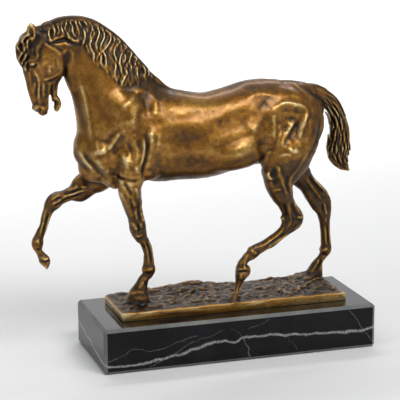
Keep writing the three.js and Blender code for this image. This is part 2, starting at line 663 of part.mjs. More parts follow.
// What shows of the muscles and bones from a step away.
function addMuscles(clay) {
  ridge(clay, [[-134.3, 256.7], [-132.2, 245.7], [-129.2, 234.7], [-126.6, 220.4], [-124, 197]], 1.3, 4.5);
  ridge(clay, [[-137.2, 243], [-134.4, 232], [-131.7, 221], [-130.5, 210]], -1.2, 5);
  ridge(clay, [[-121, 262], [-112, 240], [-106, 222]], -1.2, 9);
  ridge(clay, [[-102.2, 224.8], [-95.9, 230.3], [-88.7, 234.5], [-83.3, 237], [-76, 236.5]], 1.6, 5);
  ridge(clay, [[-62, 226], [-66, 215], [-72, 206]], -1, 6);
  ridge(clay, [[-100, 223], [-93, 213], [-90.5, 205], [-90, 196]], 0.9, 5);
  pad(clay, [-120.5, 188.8], [3, 2], 1.6, 4); // point of the shoulder
  ridge(clay, [[-102.4, 205], [-106.6, 198.3], [-110.5, 191.5]], 1.3, 4);
  ridge(clay, [[-108, 206], [-113, 199], [-117, 195]], -1.1, 4.5);
  ridge(clay, [[-79.5, 202.7], [-80.5, 190], [-82.3, 177.7], [-83, 168]], -2, 4);
  ridge(clay, [[-96, 196], [-95, 186], [-92, 177]], 0.9, 4);
  ridge(clay, [[-106.5, 163.3], [-104.6, 168], [-99.9, 167.1], [-94.6, 164.9], [-88, 163]], -1.4, 3.5);
  ridge(clay, [[-131.5, 190], [-125.5, 180], [-117, 171], [-108, 163]], -1.4, 4);
  ridge(clay, [[-70, 212], [-50, 214.5], [-30, 215.5], [-3, 219]], -0.8, 8);
  ridge(clay, [[23.7, 213], [23, 203], [21, 193], [18, 184]], -1.8, 8);
  ridge(clay, [[22, 232], [28, 231.8], [34, 231], [41, 227]], 1.1, 4.5);
  ridge(clay, [[40.7, 222], [48.6, 222.6], [57, 220.5], [65, 215.5], [64.5, 209], [58.5, 194.4]], 1.6, 4);
  pad(clay, [-46, 199], [11, 3], -1.1, 9); // ribs sunk behind the arm
  pad(clay, [3, 186], [9, 2], 2, 7); // belly's swelling
  pad(clay, [-2, 208], [12, 2], -1.9, 8); // hollow flank
  pad(clay, [48, 181], [5, 2], 2.2, 7); // thigh's swelling
  pad(clay, [-26, 226], [22, 2], 1.1, 7); // long muscle of the back
  pad(clay, [49, 209], [5, 4], -1.7, 8); // sunk middle of the thigh
  pad(clay, [69, 196], [2, 8], 0.8, 6); // buttock
  ridge(clay, [[53.2, 209], [46.4, 198.6], [40.7, 188.5], [37.2, 180.7]], 1.3, 3.5);
  pad(clay, [52.5, 184], [2, 1.5], 1.4, 5);
  ridge(clay, [[30.5, 217], [30, 200], [29, 184]], 0.9, 4);
  ridge(clay, [[23, 184], [27, 176], [31, 170]], 1.1, 4);
}

// Wavy locks that hang from the crest down one side of the neck.
function addLocks(clay, { count, side, width, flatness, reach, seed }) {
  const random = randomRow(seed);
  const anyOf = (low, high) => mix(low, high, random());
  const crest = throughRows(CREST, 8);
  const shapes = [];
  for (let i = 0; i < count; i++) {
    const [x0, z0] = crest[Math.round(((i + 0.5) / count) * (crest.length - 1))];
    const x1 = x0 + anyOf(-3.5, 1.5);
    const fall = Math.max(4, (z0 - lineHeight(HEM, x1) + anyOf(-2, 2)) * reach);
    const steps = Math.max(4, Math.round(fall / 5) + 1);
    const [start, wave, sway] = [anyOf(0, 2 * Math.PI), anyOf(18, 24), anyOf(1.5, 2.4)];
    shapes.push(
      Array.from({ length: steps }, (_, k) => {
        const t = k / (steps - 1);
        const swing = sway * Math.sin(start + (2 * Math.PI * t * fall) / wave) * Math.min(1, 2.5 * t);
        const [x, z] = [x0 + (x1 - x0) * t + swing, z0 - 1 + (1 - fall) * t];
        const taper = t < 0.55 ? 1 : 1 - (t - 0.55) / 0.6;
        return [x, clay.skin(x, z, side, side) - side * 0.1, z, width * 0.62 * taper + 0.4];
      }),
    );
  }
  for (const lock of shapes) clay.join(strand(lock, flatness), 0.7);
}

function addTail(clay) {
  clay.join(sweep(TAIL, 2), 2);
  const { count, depth, soft, slack } = TAIL_GROOVES;
  const middle = throughRows(TAIL, 2).slice(5);
  for (const side of [-1, 1])
    for (let n = 0; n < count; n++) {
      const lane = (2 * n + 1) / count - 1;
      const rows = middle.map(([ox, oz, ix, iz, , half], i) => {
        const across = clamp(lane + slack * Math.sin(0.8 * i + 1.7 * n), -0.95, 0.95);
        const [cx, cz, dx, dz] = [(ox + ix) / 2, (oz + iz) / 2, (ox - ix) / 2, (oz - iz) / 2];
        return [cx + dx * across, side * half * Math.sqrt(1 - across * across), cz + dz * across, 0.4];
      });
      clay.raise(strand(rows), -depth, soft);
    }
}

// Smooth noise of the plane, from -1 to 1, with lumps about one unit apart.
function lumps(x, y) {
  const [i, j] = [Math.floor(x), Math.floor(y)];
  const pick = (a, b) => {
    const v = Math.sin(a * 127.1 + b * 311.7) * 43758.5453;
    return 2 * (v - Math.floor(v)) - 1;
  };
  const ease = (t) => t * t * (3 - 2 * t);
  const [u, v] = [ease(x - i), ease(y - j)];
  const near = pick(i, j) * (1 - u) + pick(i + 1, j) * u;
  const far = pick(i, j + 1) * (1 - u) + pick(i + 1, j + 1) * u;
  return near * (1 - v) + far * v;
}

// Height of the modelled earth. It falls to the plate's rim at the edges.
function groundHeight(x, y) {
  const front = y + PLATE.width / 2;
  const ends = PLATE.length / 2 - Math.abs(x);
  const back = PLATE.width / 2 - y;
  const edge = clamp(Math.min(front / 9, ends / 8, 0.35 + back / 8), 0, 1);
  let height = 1.3 + (1.6 * front) / PLATE.width;
  for (const [mx, my, radius, top] of MOUNDS)
    height += top * Math.exp(-((x - mx) ** 2 + (y - my) ** 2) / (0.5 * radius * radius));
  height += 1.3 * lumps(x / 13, y / 11) + 0.7 * lumps(x / 6.5 + 40, y / 6);
  return PLATE_TOP + Math.max(0, height) * edge;
}

// The ground plate: a slab with straight sides, whose top is the modelled earth.
function groundPlate() {
  const columns = Math.round(PLATE.length / PLATE.cell);
  const rows = Math.round(PLATE.width / PLATE.cell);
  const points = [];
  const faces = [];
  const top = (i, j) => i * (rows + 1) + j;
  for (let i = 0; i <= columns; i++)
    for (let j = 0; j <= rows; j++) {
      const x = (i / columns - 0.5) * PLATE.length;
      const y = (j / rows - 0.5) * PLATE.width;
      points.push([x, y, groundHeight(x, y)]);
    }
  for (let i = 0; i < columns; i++)
    for (let j = 0; j < rows; j++) {
      faces.push([top(i, j), top(i + 1, j), top(i + 1, j + 1)]);
      faces.push([top(i, j), top(i + 1, j + 1), top(i, j + 1)]);
    }
  const corners = [[-1, -1], [1, -1], [1, 1], [-1, 1]].map(([x, y]) => {
    points.push([(x * PLATE.length) / 2, (y * PLATE.width) / 2, PLINTH.height]);
    return points.length - 1;
  });
  faces.push([corners[0], corners[2], corners[1]], [corners[0], corners[3], corners[2]]);
  const rims = [
    Array.from({ length: columns + 1 }, (_, i) => top(i, 0)),
    Array.from({ length: rows + 1 }, (_, j) => top(columns, j)),
    Array.from({ length: columns + 1 }, (_, i) => top(columns - i, rows)),
    Array.from({ length: rows + 1 }, (_, j) => top(0, rows - j)),
  ];
  rims.forEach((rim, side) => {
    const [left, right] = [corners[side], corners[(side + 1) % 4]];
    const middle = rim.length >> 1;
    rim.slice(1).forEach((point, n) => faces.push([n < middle ? left : right, point, rim[n]]));
    faces.push([left, right, rim[middle]]);
  });
  return geometryOf({ points, faces });
}

function horseGeometry() {
  const clay = new Clay(CLAY_LOW, CLAY_HIGH, GRAIN);
  addBody(clay);
  addHead(clay);
  addLegs(clay);
  addMuscles(clay);
  addTail(clay);
  clay.join(strand([...CREST, ...WITHERS].map(([x, z]) => [x, 0, z - CREST_RADIUS, CREST_RADIUS])), 3);
  addLocks(clay, NEAR_LOCKS);
  addLocks(clay, FAR_LOCKS);
  for (const lock of FORELOCK) clay.join(strand(lock), 1);
  return geometryOf(simplify(skinTriangles(clay), BRONZE_FACES));
}

// The marble block: an oblong with all its edges bevelled.
function plinthGeometry() {
  const { length, width, height, bevel } = PLINTH;
  const outline = new THREE.Shape();
  const [x, y] = [length / 2 - bevel, width / 2 - bevel];
  outline.moveTo(-x, -y).lineTo(x, -y).lineTo(x, y).lineTo(-x, y).closePath();
  const settings = { depth: height - 2 * bevel, bevelThickness: bevel, bevelSize: bevel, bevelSegments: 1 };
  return new THREE.ExtrudeGeometry(outline, { ...settings, steps: 1 }).translate(0, 0, bevel);
}

const wasm = await Module();
wasm.setup();

// A closed geometry as a solid that can be joined.
function solidOf(geometry) {
  const vertProperties = geometry.attributes.position.array;
  const triVerts = new Uint32Array(geometry.index.array);
  return new wasm.Manifold(new wasm.Mesh({ numProp: 3, vertProperties, triVerts }));
}

function joined(first, second) {
  const mesh = solidOf(first).add(solidOf(second)).getMesh();
  const geometry = new THREE.BufferGeometry();
  geometry.setAttribute("position", new THREE.BufferAttribute(mesh.vertProperties, 3));
  geometry.setIndex(new THREE.BufferAttribute(mesh.triVerts, 1));
  geometry.computeVertexNormals();
  return geometry;
}

const bronze = new THREE.MeshStandardMaterial({ color: 0x7a5a2c, roughness: 0.35, metalness: 1 });
const marble = new THREE.MeshStandardMaterial({ color: 0x24262a, roughness: 0.25, metalness: 0 });

const horse = new THREE.Mesh(joined(horseGeometry(), groundPlate()), bronze);
horse.name = "bronze_horse";
const plinth = new THREE.Mesh(plinthGeometry(), marble);
plinth.name = "marble_plinth";

const sculpture = new THREE.Group();
sculpture.add(horse, plinth);

export default sculpture;
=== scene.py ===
"""A striding bronze horse on a block of black marble: fine forms, finishes, light and camera.

The casting is modelled like clay, as a block of signed distances that sections, lumps and strands are joined to.
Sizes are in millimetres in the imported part's own frame: +Z up, the horse faces -X, its near side faces -Y.
"""

import logging
import math
from abc import ABC, abstractmethod
from dataclasses import dataclass, field
from enum import Enum
from typing import Callable, NamedTuple, Sequence

import bpy
import numpy as np
from mathutils import Matrix, Vector


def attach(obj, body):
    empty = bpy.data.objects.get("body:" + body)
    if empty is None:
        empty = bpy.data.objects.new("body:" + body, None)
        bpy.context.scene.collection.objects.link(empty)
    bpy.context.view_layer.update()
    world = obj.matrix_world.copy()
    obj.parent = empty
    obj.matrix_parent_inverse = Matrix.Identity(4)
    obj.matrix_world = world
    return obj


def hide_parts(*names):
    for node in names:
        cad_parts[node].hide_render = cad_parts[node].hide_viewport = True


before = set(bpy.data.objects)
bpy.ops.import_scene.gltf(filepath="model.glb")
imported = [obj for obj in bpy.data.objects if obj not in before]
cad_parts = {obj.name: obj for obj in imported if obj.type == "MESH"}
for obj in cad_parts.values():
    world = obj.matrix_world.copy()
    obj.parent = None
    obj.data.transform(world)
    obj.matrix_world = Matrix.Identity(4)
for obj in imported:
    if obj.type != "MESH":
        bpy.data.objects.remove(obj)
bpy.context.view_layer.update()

LOG = logging.getLogger("bronze_horse")
MM = 0.001

Array = np.ndarray
Rows = Sequence[Sequence[float]]
Line = Sequence[tuple[float, float]]
Distance = Callable[[Array, Array, Array], Array]
Piece = tuple[Array, Array, Distance]
AWAY = 1e3


class Side(Enum):
    """The horse's two sides, as the sign of y."""

    NEAR = -1.0
    FAR = 1.0


BOTH = (Side.NEAR, Side.FAR)


# Modelling clay


def smooth_min(a: Array, b: Array, blend: float) -> Array:
    """The smaller of two distances, rounded where they are within `blend` of each other.

    Args:
        a: First distances.
        b: Second distances.
        blend: Width of the rounding.

    Returns:
        The joined distances.
    """
    near = np.maximum(blend - np.abs(a - b), 0.0) / blend
    return np.minimum(a, b) - near**3 * (blend / 6.0)


def through_rows(rows: Rows, fine: int) -> Array:
    """A smooth curve through rows of numbers.

    Args:
        rows: The rows to pass through.
        fine: Steps from each row to the next.

    Returns:
        The rows of the finer curve.
    """
    given = np.asarray(rows, float)
    count = len(given)
    padded = np.vstack([2 * given[0] - given[1], given, 2 * given[-1] - given[-2]])
    times = np.linspace(0, count - 1, (count - 1) * fine + 1)
    start = np.clip(np.floor(times).astype(int), 0, count - 2)
    t = (times - start)[:, None]
    a, b, c, d = (padded[start + k] for k in range(4))
    return 0.5 * (2 * b + (c - a) * t + (2 * a - 5 * b + 4 * c - d) * t**2 + (3 * b - a - 3 * c + d) * t**3)


class Form(ABC):
    """A shape made of pieces, each with its box and its distance function."""

    @abstractmethod
    def pieces(self) -> list[Piece]:
        """The pieces, as lowest corner, highest corner and distance function."""


class Blob(Form):
    """An ellipsoid."""

    def __init__(self, centre: Sequence[float], radii: Sequence[float], pitch: float = 0.0, yaw: float = 0.0) -> None:
        """Places the ellipsoid.

        Args:
            centre: Its centre.
            radii: Half lengths along its own x, y and z.
            pitch: Degrees that its -x end is raised by.
            yaw: Degrees that it is then turned by about z.
        """
        self.centre = np.array(centre, float)
        self.radii = np.array(radii, float)
        up, round_z = np.radians([pitch, yaw])
        tilt = np.array([[np.cos(up), 0, np.sin(up)], [0, 1, 0], [-np.sin(up), 0, np.cos(up)]])
        turn = np.array([[np.cos(round_z), -np.sin(round_z), 0], [np.sin(round_z), np.cos(round_z), 0], [0, 0, 1]])
        self.axes = turn @ tilt

    def pieces(self) -> list[Piece]:
        """The ellipsoid as one piece."""
        reach = np.sqrt(((self.axes * self.radii) ** 2).sum(1))
        return [(self.centre - reach, self.centre + reach, self.distance)]

    def distance(self, x: Array, y: Array, z: Array) -> Array:
        """Distance to the ellipsoid's skin.

        Args:
            x: Places along x.
            y: Places along y.
            z: Places along z.

        Returns:
            The distances, below zero inside.
        """
        offset = (x - self.centre[0], y - self.centre[1], z - self.centre[2])
        own = [sum(offset[row] * self.axes[row, axis] for row in range(3)) for axis in range(3)]
        length = np.sqrt(own[0] ** 2 + own[1] ** 2 + own[2] ** 2)
        ratio = np.sqrt(sum((own[axis] / self.radii[axis]) ** 2 for axis in range(3))) + 1e-6
        return (length * (ratio - 1) / ratio).astype(np.float32)


class Sweep(Form):
    """A body swept through sections, each a superellipse between a front and a back point."""

    def __init__(self, rows: Rows, power: float = 2.2, pinch: float = 0.0, fine: int = 4) -> None:
        """Works out the rings of the sweep.

        Args:
            rows: Front x, front z, back x, back z, middle y and half width of each section.
            power: Power of the superellipse, 2 for an ellipse.
            pinch: Narrowing towards the front side, as a share of the half width.
            fine: Rings from each section to the next.
        """
        rings = through_rows(rows, fine)
        front = np.column_stack([rings[:, 0], rings[:, 4], rings[:, 1]])
        back = np.column_stack([rings[:, 2], rings[:, 4], rings[:, 3]])
        self.power, self.pinch = power, pinch
        self.centre = (front + back) / 2
        along = np.gradient(self.centre, axis=0)
        self.along = along / np.linalg.norm(along, axis=1)[:, None]
        across = front - back
        across -= (across * self.along).sum(1)[:, None] * self.along
        length = np.linalg.norm(across, axis=1)
        self.depth = length / 2
        self.across = across / length[:, None]
        self.half = np.maximum(rings[:, 5], 0.3)

    def pieces(self) -> list[Piece]:
        """One piece for each pair of neighbouring rings."""
        reach = np.maximum(self.depth, self.half)
        found = []
        for i in range(len(self.centre) - 1):
            ends = self.centre[i : i + 2]
            wide = reach[i : i + 2].max()
            found.append((ends.min(0) - wide, ends.max(0) + wide, lambda x, y, z, i=i: self.distance(i, x, y, z)))
        return found

    def distance(self, i: int, x: Array, y: Array, z: Array) -> Array:
        """Distance to the stretch between ring i and the next.

        Args:
            i: Number of the first ring.
            x: Places along x.
            y: Places along y.
            z: Places along z.

        Returns:
            The distances, or a large number where the stretch has no say.
        """
        point = (x, y, z)
        behind = sum((point[k] - self.centre[i][k]) * self.along[i][k] for k in range(3))
        ahead = sum((point[k] - self.centre[i + 1][k]) * self.along[i + 1][k] for k in range(3))
        gap = behind - ahead
        place = behind / np.maximum(gap, 1e-6)
        own = gap > 1e-6
        if i > 0:
            own &= place >= 0
        if i < len(self.centre) - 2:
            own &= place <= 1
        beyond = np.where(place < 0, behind, np.where(place > 1, ahead, 0.0))
        t = np.clip(place, 0, 1)
        centre, along, across = (
            [row[i][k] + t * (row[i + 1][k] - row[i][k]) for k in range(3)]
            for row in (self.centre, self.along, self.across)
        )
        offset = [point[k] - centre[k] for k in range(3)]
        side = [along[k - 2] * across[k - 1] - along[k - 1] * across[k - 2] for k in range(3)]
        up = sum(offset[k] * across[k] for k in range(3))
        out = sum(offset[k] * side[k] for k in range(3))
        depth = self.depth[i] + t * (self.depth[i + 1] - self.depth[i])
        half = self.half[i] + t * (self.half[i + 1] - self.half[i])
        if self.pinch:
            half = half * np.clip(1 - self.pinch * up / depth, 0.2, 1.8)
        end = np.minimum(depth, half)
        power = self.power
        total = np.abs(up / depth) ** power + np.abs(out / half) ** power + np.abs(beyond / end) ** power
        ratio = total ** (1 / power) + 1e-6
        length = np.sqrt(up**2 + out**2 + beyond**2)
        return np.where(own, length * (ratio - 1) / ratio, AWAY).astype(np.float32)


class Cord(Form):
    """A strand along a smooth curve, round or pressed flat."""

    def __init__(self, rows: Rows, flatness: float = 1.0, flat: Sequence[float] = (0, 1, 0), fine: int = 3) -> None:
        """Works out the strand's points.

        Args:
            rows: x, y, z and radius of the points.
            flatness: Its thickness along `flat` as a share of its width.
            flat: Unit direction that it is pressed flat along.
            fine: Steps from each point to the next.
        """
        points = through_rows(rows, fine)
        self.points, self.radius = points[:, :3], np.maximum(points[:, 3], 0.15)
        self.flatness, self.flat = flatness, np.asarray(flat, float)

    def pieces(self) -> list[Piece]:
        """One piece for each stretch between points."""
        found = []
        for i in range(len(self.points) - 1):
            ends = self.points[i : i + 2]
            wide = self.radius[i : i + 2].max()
            found.append((ends.min(0) - wide, ends.max(0) + wide, lambda x, y, z, i=i: self.distance(i, x, y, z)))
        return found

    def distance(self, i: int, x: Array, y: Array, z: Array) -> Array:
        """Distance to the stretch from point i to the next.

        Args:
            i: Number of the first point.
            x: Places along x.
            y: Places along y.
            z: Places along z.

        Returns:
            The distances.
        """
        start = self.points[i]
        course = self.points[i + 1] - start
        offset = [x - start[0], y - start[1], z - start[2]]
        t = np.clip(sum(offset[k] * course[k] for k in range(3)) / (course @ course + 1e-9), 0, 1)
        offset = [offset[k] - t * course[k] for k in range(3)]
        radius = self.radius[i] + t * (self.radius[i + 1] - self.radius[i])
        if self.flatness == 1.0:
            return (np.sqrt(sum(part**2 for part in offset)) - radius).astype(np.float32)
        stretch = (1 / self.flatness - 1) * sum(offset[k] * self.flat[k] for k in range(3))
        offset = [offset[k] + stretch * self.flat[k] for k in range(3)]
        return ((np.sqrt(sum(part**2 for part in offset)) - radius) * 0.8).astype(np.float32)


class Clay:
    """A block of signed distances on a cubic grid."""

    FAR_AWAY = 12.0

    def __init__(self, low: Sequence[float], high: Sequence[float], grain: float) -> None:
        """Sets out an empty block.

        Args:
            low: Its lowest corner.
            high: Its highest corner.
            grain: Distance between its sampled points.
        """
        self.low = np.array(low, float)
        self.grain = grain
        self.count = np.ceil((np.array(high, float) - self.low) / grain).astype(int) + 1
        self.field = np.full(self.count, self.FAR_AWAY, np.float32)
        self.axes = [(self.low[k] + grain * np.arange(self.count[k])).astype(np.float32) for k in range(3)]

    def window(self, low: Array, high: Array) -> tuple[slice, slice, slice]:
        """The part of the grid inside a box.

        Args:
            low: The box's lowest corner.
            high: The box's highest corner.

        Returns:
            A slice of the grid for each axis.
        """
        first = np.clip(np.floor((low - self.low) / self.grain).astype(int), 0, self.count)
        last = np.clip(np.ceil((high - self.low) / self.grain).astype(int) + 1, 0, self.count)
        return tuple(slice(a, b) for a, b in zip(first, last))

    def measure(self, form: Form, reach: float) -> tuple[tuple[slice, slice, slice], Array]:
        """Distances to a form on the part of the grid near it.

        Args:
            form: The form.
            reach: How far outside the form its distances are wanted.

        Returns:
            The part of the grid, and the distances there.
        """
        pieces = form.pieces()
        low = np.min([piece[0] for piece in pieces], axis=0) - reach
        high = np.max([piece[1] for piece in pieces], axis=0) + reach
        whole = self.window(low, high)
        result = np.full([part.stop - part.start for part in whole], AWAY, np.float32)
        for low, high, distance in pieces:
            part = self.window(low - reach, high + reach)
            if any(p.stop <= p.start for p in part):
                continue
            x, y, z = (self.axes[k][part[k]] for k in range(3))
            inner = tuple(slice(p.start - w.start, p.stop - w.start) for p, w in zip(part, whole))
            result[inner] = np.minimum(
                result[inner], distance(x[:, None, None], y[None, :, None], z[None, None, :])
            )
        return whole, result

    def join(self, form: Form, blend: float) -> None:
        """Adds a form, with a fillet.

        Args:
            form: The form.
            blend: Width of the fillet.
        """
        part, distance = self.measure(form, blend + 3 * self.grain + 1)
        self.field[part] = smooth_min(self.field[part], distance, blend)

    def cut(self, form: Form, blend: float) -> None:
        """Takes a form away, with a rounded edge.

        Args:
            form: The form.
            blend: Width of the rounding.
        """
        part, distance = self.measure(form, blend + 3 * self.grain + 1)
        self.field[part] = -smooth_min(-self.field[part], distance, blend)

    def lift(self, form: Form, height: float, soft: float) -> None:
        """Raises the skin where a form touches it, or sinks it if the height is below zero.

        Args:
            form: The form.
            height: How far the skin moves out.
            soft: Distance from the form over which that fades out.
        """
        part, distance = self.measure(form, soft + self.grain)
        fade = np.clip(1 - np.maximum(distance, 0) / soft, 0, 1)
        self.field[part] -= (height * fade * fade * (3 - 2 * fade)).astype(np.float32)

    def press(self, relief: "Relief", side: Side) -> None:
        """Raises and sinks the skin of one side by a relief.

        Args:
            relief: The relief.
            side: The side that it is pressed into.
        """
        share = np.clip(side.value * self.axes[1] / 3.0 + 0.5, 0, 1).astype(np.float32)
        self.field -= relief.heights[:, None, :] * share[None, :, None]

    def dents(self, size: float, seed: int) -> Array:
        """Soft uneven noise on the grid, as fingers leave in clay.

        Args:
            size: Distance between the dents.
            seed: Seed of their pattern.

        Returns:
            Numbers from -1 to 1.
        """
        random = np.random.default_rng(seed)
        steps = [np.arange(count) * self.grain / size for count in self.count]
        lattice = random.uniform(-1, 1, [int(step[-1]) + 2 for step in steps]).astype(np.float32)
        for axis, step in enumerate(steps):
            start = np.floor(step).astype(int)
            t = (step - start).astype(np.float32)
            t = (t * t * (3 - 2 * t)).reshape([-1 if k == axis else 1 for k in range(3)])
            lattice = lattice.take(start, axis) * (1 - t) + lattice.take(start + 1, axis) * t
        return lattice

    def sample(self, points: Array) -> Array:
        """Distances at any points, between those of the grid.

        Args:
            points: Points, one a row.

        Returns:
            Their distances.
        """
        place = (points - self.low) / self.grain
        corner = np.clip(np.floor(place).astype(int), 0, self.count - 2)
        t = place - corner
        total = np.zeros(len(points))
        for a, b, c in np.ndindex(2, 2, 2):
            weight = np.abs(1 - a - t[:, 0]) * np.abs(1 - b - t[:, 1]) * np.abs(1 - c - t[:, 2])
            total += weight * self.field[corner[:, 0] + a, corner[:, 1] + b, corner[:, 2] + c]
        return total

    def skin(self, x: float, z: float, side: Side, missing: float = 0.0) -> float:
        """Where the skin lies, seen from one side.

        Args:
            x: Place along x.
            z: Place along z.
            side: The side it is seen from.
            missing: What to give where there is no skin.

        Returns:
            y of the skin.
        """
        ys = self.axes[1][:: int(-side.value)]
        depths = self.sample(np.column_stack([np.full(len(ys), x), ys, np.full(len(ys), z)]))
        inside = np.flatnonzero(depths < 0)
        if not len(inside) or inside[0] == 0:
            return missing
        i = inside[0]
        t = depths[i - 1] / (depths[i - 1] - depths[i])
        return float(ys[i - 1] + t * (ys[i] - ys[i - 1]))

    def relief(self, points: Array, radius: float) -> Array:
        """How far the skin stands proud of its surroundings: above zero on ridges, below it in hollows.

        Args:
            points: Points on the skin, one a row.
            radius: Size of the surroundings.

        Returns:
            The relief as a share of the radius.
        """
        corners = [[a, b, c] for a in (-1, 1) for b in (-1, 1) for c in (-1, 1)]
        ways = np.array([[1, 0, 0], [-1, 0, 0], [0, 1, 0], [0, -1, 0], [0, 0, 1], [0, 0, -1]] + corners, float)
        ways /= np.linalg.norm(ways, axis=1)[:, None]
        total = sum(np.clip(self.sample(points + radius * way), -radius, radius) for way in ways)
        return total / (len(ways) * radius)

    def surface(self) -> tuple[Array, Array]:
        """The skin as a mesh, with one point in each cube that the skin passes through.

        Returns:
            The points, and the four-sided faces as numbers of points.
        """
        inside = self.field < 0
        cubes = self.count - 1
        corners = sum(
            inside[a : a + cubes[0], b : b + cubes[1], c : c + cubes[2]].astype(np.int8)
            for a, b, c in np.ndindex(2, 2, 2)
        )
        active = (corners > 0) & (corners < 8)
        cells = np.argwhere(active)
        number = np.full(cubes, -1, np.int32)
        number[active] = np.arange(len(cells))
        place = np.zeros((len(cells), 3))
        hits = np.zeros(len(cells))
        for axis in range(3):
            other, third = (axis + 1) % 3, (axis + 2) % 3
            for a, b in np.ndindex(2, 2):
                start = np.zeros(3, int)
                start[other], start[third] = a, b
                end = start.copy()
                end[axis] = 1
                near = self.field[tuple((cells + start).T)]
                far = self.field[tuple((cells + end).T)]
                crossed = (near < 0) != (far < 0)
                t = np.where(crossed, near / np.where(crossed, near - far, 1), 0)
                place += np.where(crossed[:, None], start, 0)
                place[:, axis] += t
                hits += crossed
        points = (place / hits[:, None] + cells) * self.grain + self.low
        faces = []
        for axis in range(3):
            other, third = (axis + 1) % 3, (axis + 2) % 3
            first = [slice(1, -1)] * 3
            first[axis] = slice(0, -1)
            second = list(first)
            second[axis] = slice(1, None)
            start, end = inside[tuple(first)], inside[tuple(second)]
            edges = np.argwhere(start != end)
            outward = start[tuple(edges.T)]
            edges[:, [other, third]] += 1
            ring = []
            for a, b in ((-1, -1), (0, -1), (0, 0), (-1, 0)):
                cell = edges.copy()
                cell[:, other] += a
                cell[:, third] += b
                ring.append(number[tuple(cell.T)])
            quads = np.stack(ring, axis=1)
            quads[~outward] = quads[~outward][:, ::-1]
            faces.append(quads)
        return points, np.concatenate(faces)


class Stroke(NamedTuple):
    """A ridge seen from the side, or a groove where its height is below zero."""

    line: Line
    height: float
    soft: float


class Relief:
    """Heights over the side view of the clay, drawn with strokes and patches."""

    def __init__(self, clay: Clay) -> None:
        """Sets out a flat relief.

        Args:
            clay: The clay whose grid it shares.
        """
        self.x, self.z = clay.axes[0], clay.axes[2]
        self.grain = clay.grain
        self.heights = np.zeros((len(self.x), len(self.z)), np.float32)

    def around(self, low: Array, high: Array) -> tuple[slice, slice]:
        """The part of the relief inside a box.

        Args:
            low: x and z of the box's lowest corner.
            high: x and z of its highest corner.

        Returns:
            A slice along x and one along z.
        """
        return tuple(
            slice(*np.clip(np.searchsorted(axis, (a, b)), 0, len(axis)))
            for axis, a, b in zip((self.x, self.z), low, high)
        )

    def stroke(self, line: Line, height: float, soft: float) -> None:
        """Draws a ridge with a round top and tapering ends.

        Args:
            line: x and z of its points.
            height: Its height, below zero for a groove.
            soft: Its half width.
        """
        points = through_rows(line, 4)
        reach = 2.2 * soft
        whole = self.around(points.min(0) - reach, points.max(0) + reach)
        strongest = np.zeros([part.stop - part.start for part in whole], np.float32)
        x, z = self.x[whole[0]][:, None], self.z[whole[1]][None, :]
        last = len(points) - 1
        for i in range(last):
            course = points[i + 1] - points[i]
            t = ((x - points[i][0]) * course[0] + (z - points[i][1]) * course[1]) / (course @ course + 1e-9)
            t = np.clip(t, 0, 1)
            away = (x - points[i][0] - t * course[0]) ** 2 + (z - points[i][1] - t * course[1]) ** 2
            end = np.minimum(i + t, last - i - t) / last
            taper = np.clip(0.1 + end / 0.2, 0, 1)
            strongest = np.maximum(strongest, taper * np.exp(-away / soft**2))
        self.heights[whole] += height * strongest

    def patch(self, centre: tuple[float, float], size: tuple[float, float], height: float, pitch: float = 0.0) -> None:
        """Draws an oval swelling with a soft edge.

        Args:
            centre: Its x and z.
            size: Its half length and half height.
            height: Its height, below zero for a hollow.
            pitch: Degrees that its front end is raised by.
        """
        low, high = np.array(centre) - 1.5 * max(size), np.array(centre) + 1.5 * max(size)
        part = self.around(low, high)
        x, z = self.x[part[0]][:, None] - centre[0], self.z[part[1]][None, :] - centre[1]
        turn = math.radians(pitch)
        along = (x * math.cos(turn) - z * math.sin(turn)) / size[0]
        across = (x * math.sin(turn) + z * math.cos(turn)) / size[1]
        self.heights[part] += height * np.exp(-((along**2 + across**2) ** 1.5))


# The horse's parts. A section is front x, front z, back x, back z, middle y, half width.


